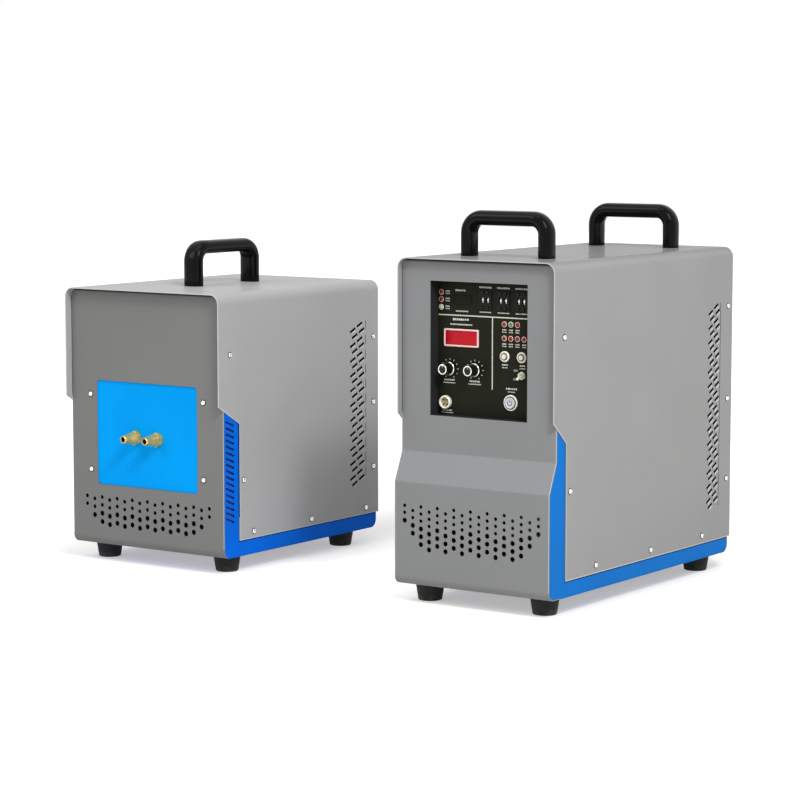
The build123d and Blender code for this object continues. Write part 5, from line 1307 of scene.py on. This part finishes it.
class Furnace_OT_digits(bpy.types.Operator):
    """Digits 0 to 9 on the ten faces of each wheel, and plus and minus on the keys"""
    bl_idname = "furnace.digits"
    bl_label = "Digits"

    def execute(self, context):
        wheel, stand = 7.0, 0.02            # the wheel's radius to its ten corners
        face = wheel * cos(radians(18)) + stand
        turns = -2 * pi * np.arange(10) / 10
        outward = np.stack([np.zeros(10), -np.cos(turns), -np.sin(turns)], 1)
        upward = np.stack([np.zeros(10), -np.sin(turns), np.cos(turns)], 1)
        words = [text_mesh(str(number), 4.7, 0.32) for number in range(10)]
        key_out, reach, thin = 2.7, 1.1, 0.22
        for setter, middle in SETTERS.items():
            for digit, side in (("tens", -0.5), ("units", 0.5)):
                name, x = f"{setter}_{digit}", middle + side * DIGIT_PITCH
                axis = MAIN + (x, WHEEL_AXLE_Y, WINDOW_Z + SETTER_Z)
                form = Form()
                for (points, triangles), out, up in zip(words, outward, upward):
                    form.add(placed(points, axis + out * face, RIGHT, up, out), NO_QUADS,
                             triangles)
                form.piece(name + "_digits", name + "_wheel", "white_digit_wheel",
                           ["digit_white"])
                for key, high, strokes in (("plus", 9.9, ((reach, thin), (thin, reach))),
                                           ("minus", -9.9, ((reach, thin),))):
                    flat = np.concatenate([bar(-a, a, -b, b) for a, b in strokes])
                    origin = on_panel(x, SETTER_Z + high, key_out)
                    mark = Form().patches(placed(flat, origin), FRONT * 0.06)
                    mark.piece(f"{name}_{key}_mark", f"{name}_{key}_key", "black_plastic",
                               ["mark_dim"])
        return {"FINISHED"}


class Furnace_OT_brass(bpy.types.Operator):
    """Coil connectors, hose ports and cable gland"""
    bl_idname = "furnace.brass"
    bl_label = "Fittings"

    def execute(self, context):
        columns, spacing = 60, 20.0
        connector = ringed([
            (4.0, -23.0, 0), (7.8, -23.0, 0), (7.8, -0.2, 0), (9.2, 0.0, 1), (9.4, 0.6, 1),
            (9.4, 5.4, 1), (9.0, 6.2, 1), (8.1, 6.6, 0), (8.1, 7.4, 0), (9.5, 8.0, 0),
            (9.4, 8.8, 0), (8.8, 9.8, 0), (7.2, 19.0, 0), (6.6, 20.2, 0), (6.6, 21.6, 0),
            (6.3, 25.0, 0), (5.6, 28.4, 0), (5.0, 29.9, 0), (4.5, 30.5, 0), (4.2, 30.4, 0),
            (4.0, 30.0, 0)], columns)
        form = Form()
        # A dark tube inside each bore: painted shade down the hole.
        bore_shade = turned([(3.6, -22.0), (3.99, -22.0), (3.99, 28.6), (3.6, 28.6)], 40)
        for side in SIDES:
            seat = HEAD + (side * spacing, 13.5, 186.0)
            form.grid(placed(connector, seat), loop=True)
            form.grid(placed(bore_shade, seat), 1, loop=True)
        form.piece("coil_fittings", HEATER, "brass", ["gold_brass", "dark_ink"],
                   ["coil_connectors"], sharp=30.0)
        port = [(3.0, -13.5, 0), (6.5, -13.5, 0), (6.5, 0.0, 0), (8.7, 0.0, 1), (9.1, 0.5, 1),
                (9.1, 4.5, 1), (8.7, 5.0, 1), (5.2, 5.0, 0)]
        for i in range(3):
            low = 5.0 + 25.0 / 3 * i
            port += [(6.0, low + 0.6, 0), (6.0, low + 1.2, 0), (4.8, low + 8.2, 0)]
        port = ringed(port + [(4.3, 30.0, 0), (3.3, 30.0, 0), (3.0, 29.6, 0)], columns)
        for case in CASES:
            form = Form()
            for x, z in case["ports"]:
                seat = case["corner"] + (x, case["ports_y"], z)
                form.grid(placed(port, seat, UP, RIGHT, REAR), loop=True)
            form.piece(case["name"] + "_hose_barbs", case["body"], "brass", ["gold_brass"],
                       [case["name"] + "_hose_ports"], sharp=30.0)
        gland = ringed([
            (8.0, -9.5, 0), (12.5, -9.5, 0), (12.5, 0.0, 0), (13.4, 0.0, 1), (13.85, 0.6, 1),
            (13.85, 6.4, 1), (13.4, 7.0, 1), (12.3, 7.0, 0), (12.3, 12.0, 0), (11.6, 15.0, 0),
            (10.6, 20.0, 0), (9.6, 22.0, 0), (8.4, 22.0, 0), (8.0, 21.4, 0)], columns)
        form = Form().grid(placed(gland, MAIN + (88.0, 478.0, 76.0), UP, RIGHT, REAR), loop=True)
        form.piece("gland_body", CABINET, "black_plastic", ["fan_black"], ["cable_gland"],
                   sharp=30.0)
        return {"FINISHED"}


class Furnace_OT_marks(bpy.types.Operator):
    """ON and OFF at the mains breaker on the back"""
    bl_idname = "furnace.marks"
    bl_label = "Breaker marks"

    def execute(self, context):
        form = Form()
        for text, z in (("ON", 30.0), ("OFF", -30.0)):
            add_text(form, text, 6.0, MAIN + (64.0, 478.06, 354.0 + z), -RIGHT, UP, REAR)
        form.piece("breaker_print", CABINET, "pale_bezel", ["panel_ink"])
        return {"FINISHED"}


class Furnace_OT_stage(bpy.types.Operator):
    """White floor, room light, four lamps and the camera"""
    bl_idname = "furnace.stage"
    bl_label = "Stage"

    def execute(self, context):
        scene = context.scene
        light = settings().light
        scene.view_settings.view_transform = "Standard"

        floor = bpy.data.meshes.new("floor")
        floor.from_pydata([(-9, -9, 0), (9, -9, 0), (9, 9, 0), (-9, 9, 0)], [], [(0, 1, 2, 3)])
        ground = bpy.data.objects.new("floor", floor)
        scene.collection.objects.link(ground)
        ground.location = (0.0, 0.0, -0.0005)
        finish = Finish("floor_white")
        place = finish.object_place()
        far = (place * place).part(0) + (place * place).part(1)
        # Painted light on the floor: its glow is lower near the cases so that their shadows show,
        # and raised in two boxes, between the cases and left of the head, painting out the shadows
        # there. The warm tints of glow and base offset the blue light that the cases' blue throws
        # into the shadows.
        glow = finish.mix(far.step(0.25, 2.0), (0.42, 0.406, 0.385), (0.9, 0.9, 0.9))
        for low, high, level in (((-100, -380, -900), (120, 380, 900), 0.8),
                                 ((-2000, -800, -900), (-540, 600, 900), 0.75)):
            glow = finish.mix(finish.inside(low, high, 100), glow, (level, level, level))
        finish.set(Base_Color=(0.81, 0.8, 0.76), Roughness=0.9, Specular_IOR_Level=0.0,
                   Emission_Color=glow, Emission_Strength=bright_rays(finish))
        floor.materials.append(finish.material)

        world = bpy.data.worlds.new("room")
        scene.world = world
        world.use_nodes = True
        tree = world.node_tree
        tree.nodes.clear()
        room = Finish.__new__(Finish)
        room.tree, room.place = tree, None
        output = tree.nodes.new("ShaderNodeOutputWorld")
        level = light.ambient + bright_rays(room) * (1.0 - light.ambient)
        background = room.node("Background", None, {"Color": (1.0, 1.0, 1.0), "Strength": level})
        tree.links.new(background.socket, output.inputs["Surface"])

        for name, place, target, size, watts in (
                ("key", (2.3, -1.5, 2.5), (0.1, 0.0, 0.2), 1.6, light.key),
                ("top", (-0.3, -0.7, 2.9), (0.0, 0.0, 0.3), 1.8, light.top),
                ("fill", (-1.6, -2.5, 2.0), (0.0, -0.2, 0.2), 1.6, light.fill),
                ("spark", (2.3, -1.5, 2.5), (0.1, 0.0, 0.2), 0.4, light.spark)):
            lamp = bpy.data.lights.new(name, "AREA")
            lamp.shape = "SQUARE"
            lamp.size = size
            lamp.energy = watts
            holder = bpy.data.objects.new(name, lamp)
            scene.collection.objects.link(holder)
            holder.location = place
            aim = Vector(target) - Vector(place)
            holder.rotation_euler = aim.to_track_quat("-Z", "Y").to_euler()

        camera = bpy.data.cameras.new("camera")
        camera.sensor_width = 36.0
        camera.lens = 118.52
        camera.clip_end = 50.0
        holder = bpy.data.objects.new("camera", camera)
        scene.collection.objects.link(holder)
        holder.location = (2.1700, -3.0979, 0.6560)
        holder.rotation_euler = (radians(90 - 6.311), 0.0, radians(34.947))
        scene.camera = holder
        return {"FINISHED"}


def bright_rays(finish):
    """1 for what the camera sees directly, in a mirror or through glass, and 0 for the rest."""
    return (finish.node("LightPath", output=0).most(finish.node("LightPath", output=3))
            .most(finish.node("LightPath", output=6)))


class Furnace_PT_panel(bpy.types.Panel):
    """Every size, colour and piece of the furnace"""
    bl_label = "Split induction furnace"
    bl_idname = "FURNACE_PT_panel"
    bl_space_type = "VIEW_3D"
    bl_region_type = "UI"
    bl_category = "Furnace"

    def draw(self, context):
        for group in ("paint", "handles", "knobs", "marks", "light"):
            box = self.layout.box()
            box.label(text=group.capitalize())
            values = getattr(context.scene.furnace, group)
            for name in values.bl_rna.properties.keys():
                if name not in {"rna_type", "name"}:
                    box.prop(values, name)
        for operator in OPERATORS:
            self.layout.operator(operator.bl_idname)


OPERATORS = (Furnace_OT_cases, Furnace_OT_insides, Furnace_OT_handles, Furnace_OT_feet,
             Furnace_OT_screws, Furnace_OT_vents, Furnace_OT_edges, Furnace_OT_knobs,
             Furnace_OT_lamps, Furnace_OT_buttons, Furnace_OT_socket, Furnace_OT_meter,
             Furnace_OT_print, Furnace_OT_digits, Furnace_OT_brass, Furnace_OT_marks,
             Furnace_OT_stage)
CLASSES = (FurnacePaint, FurnaceHandles, FurnaceKnobs, FurnacePrint, FurnaceLight, FurnaceSettings,
           *OPERATORS, Furnace_PT_panel)


def register():
    for item in CLASSES:
        bpy.utils.register_class(item)
    bpy.types.Scene.furnace = bpy.props.PointerProperty(type=FurnaceSettings)


def unregister():
    del bpy.types.Scene.furnace
    for item in reversed(CLASSES):
        bpy.utils.unregister_class(item)


def main():
    """Registers the classes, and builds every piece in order."""
    register()
    for operator in OPERATORS:
        group, name = operator.bl_idname.split(".")
        getattr(getattr(bpy.ops, group), name)()
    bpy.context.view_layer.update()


if __name__ == "__main__":
    main()
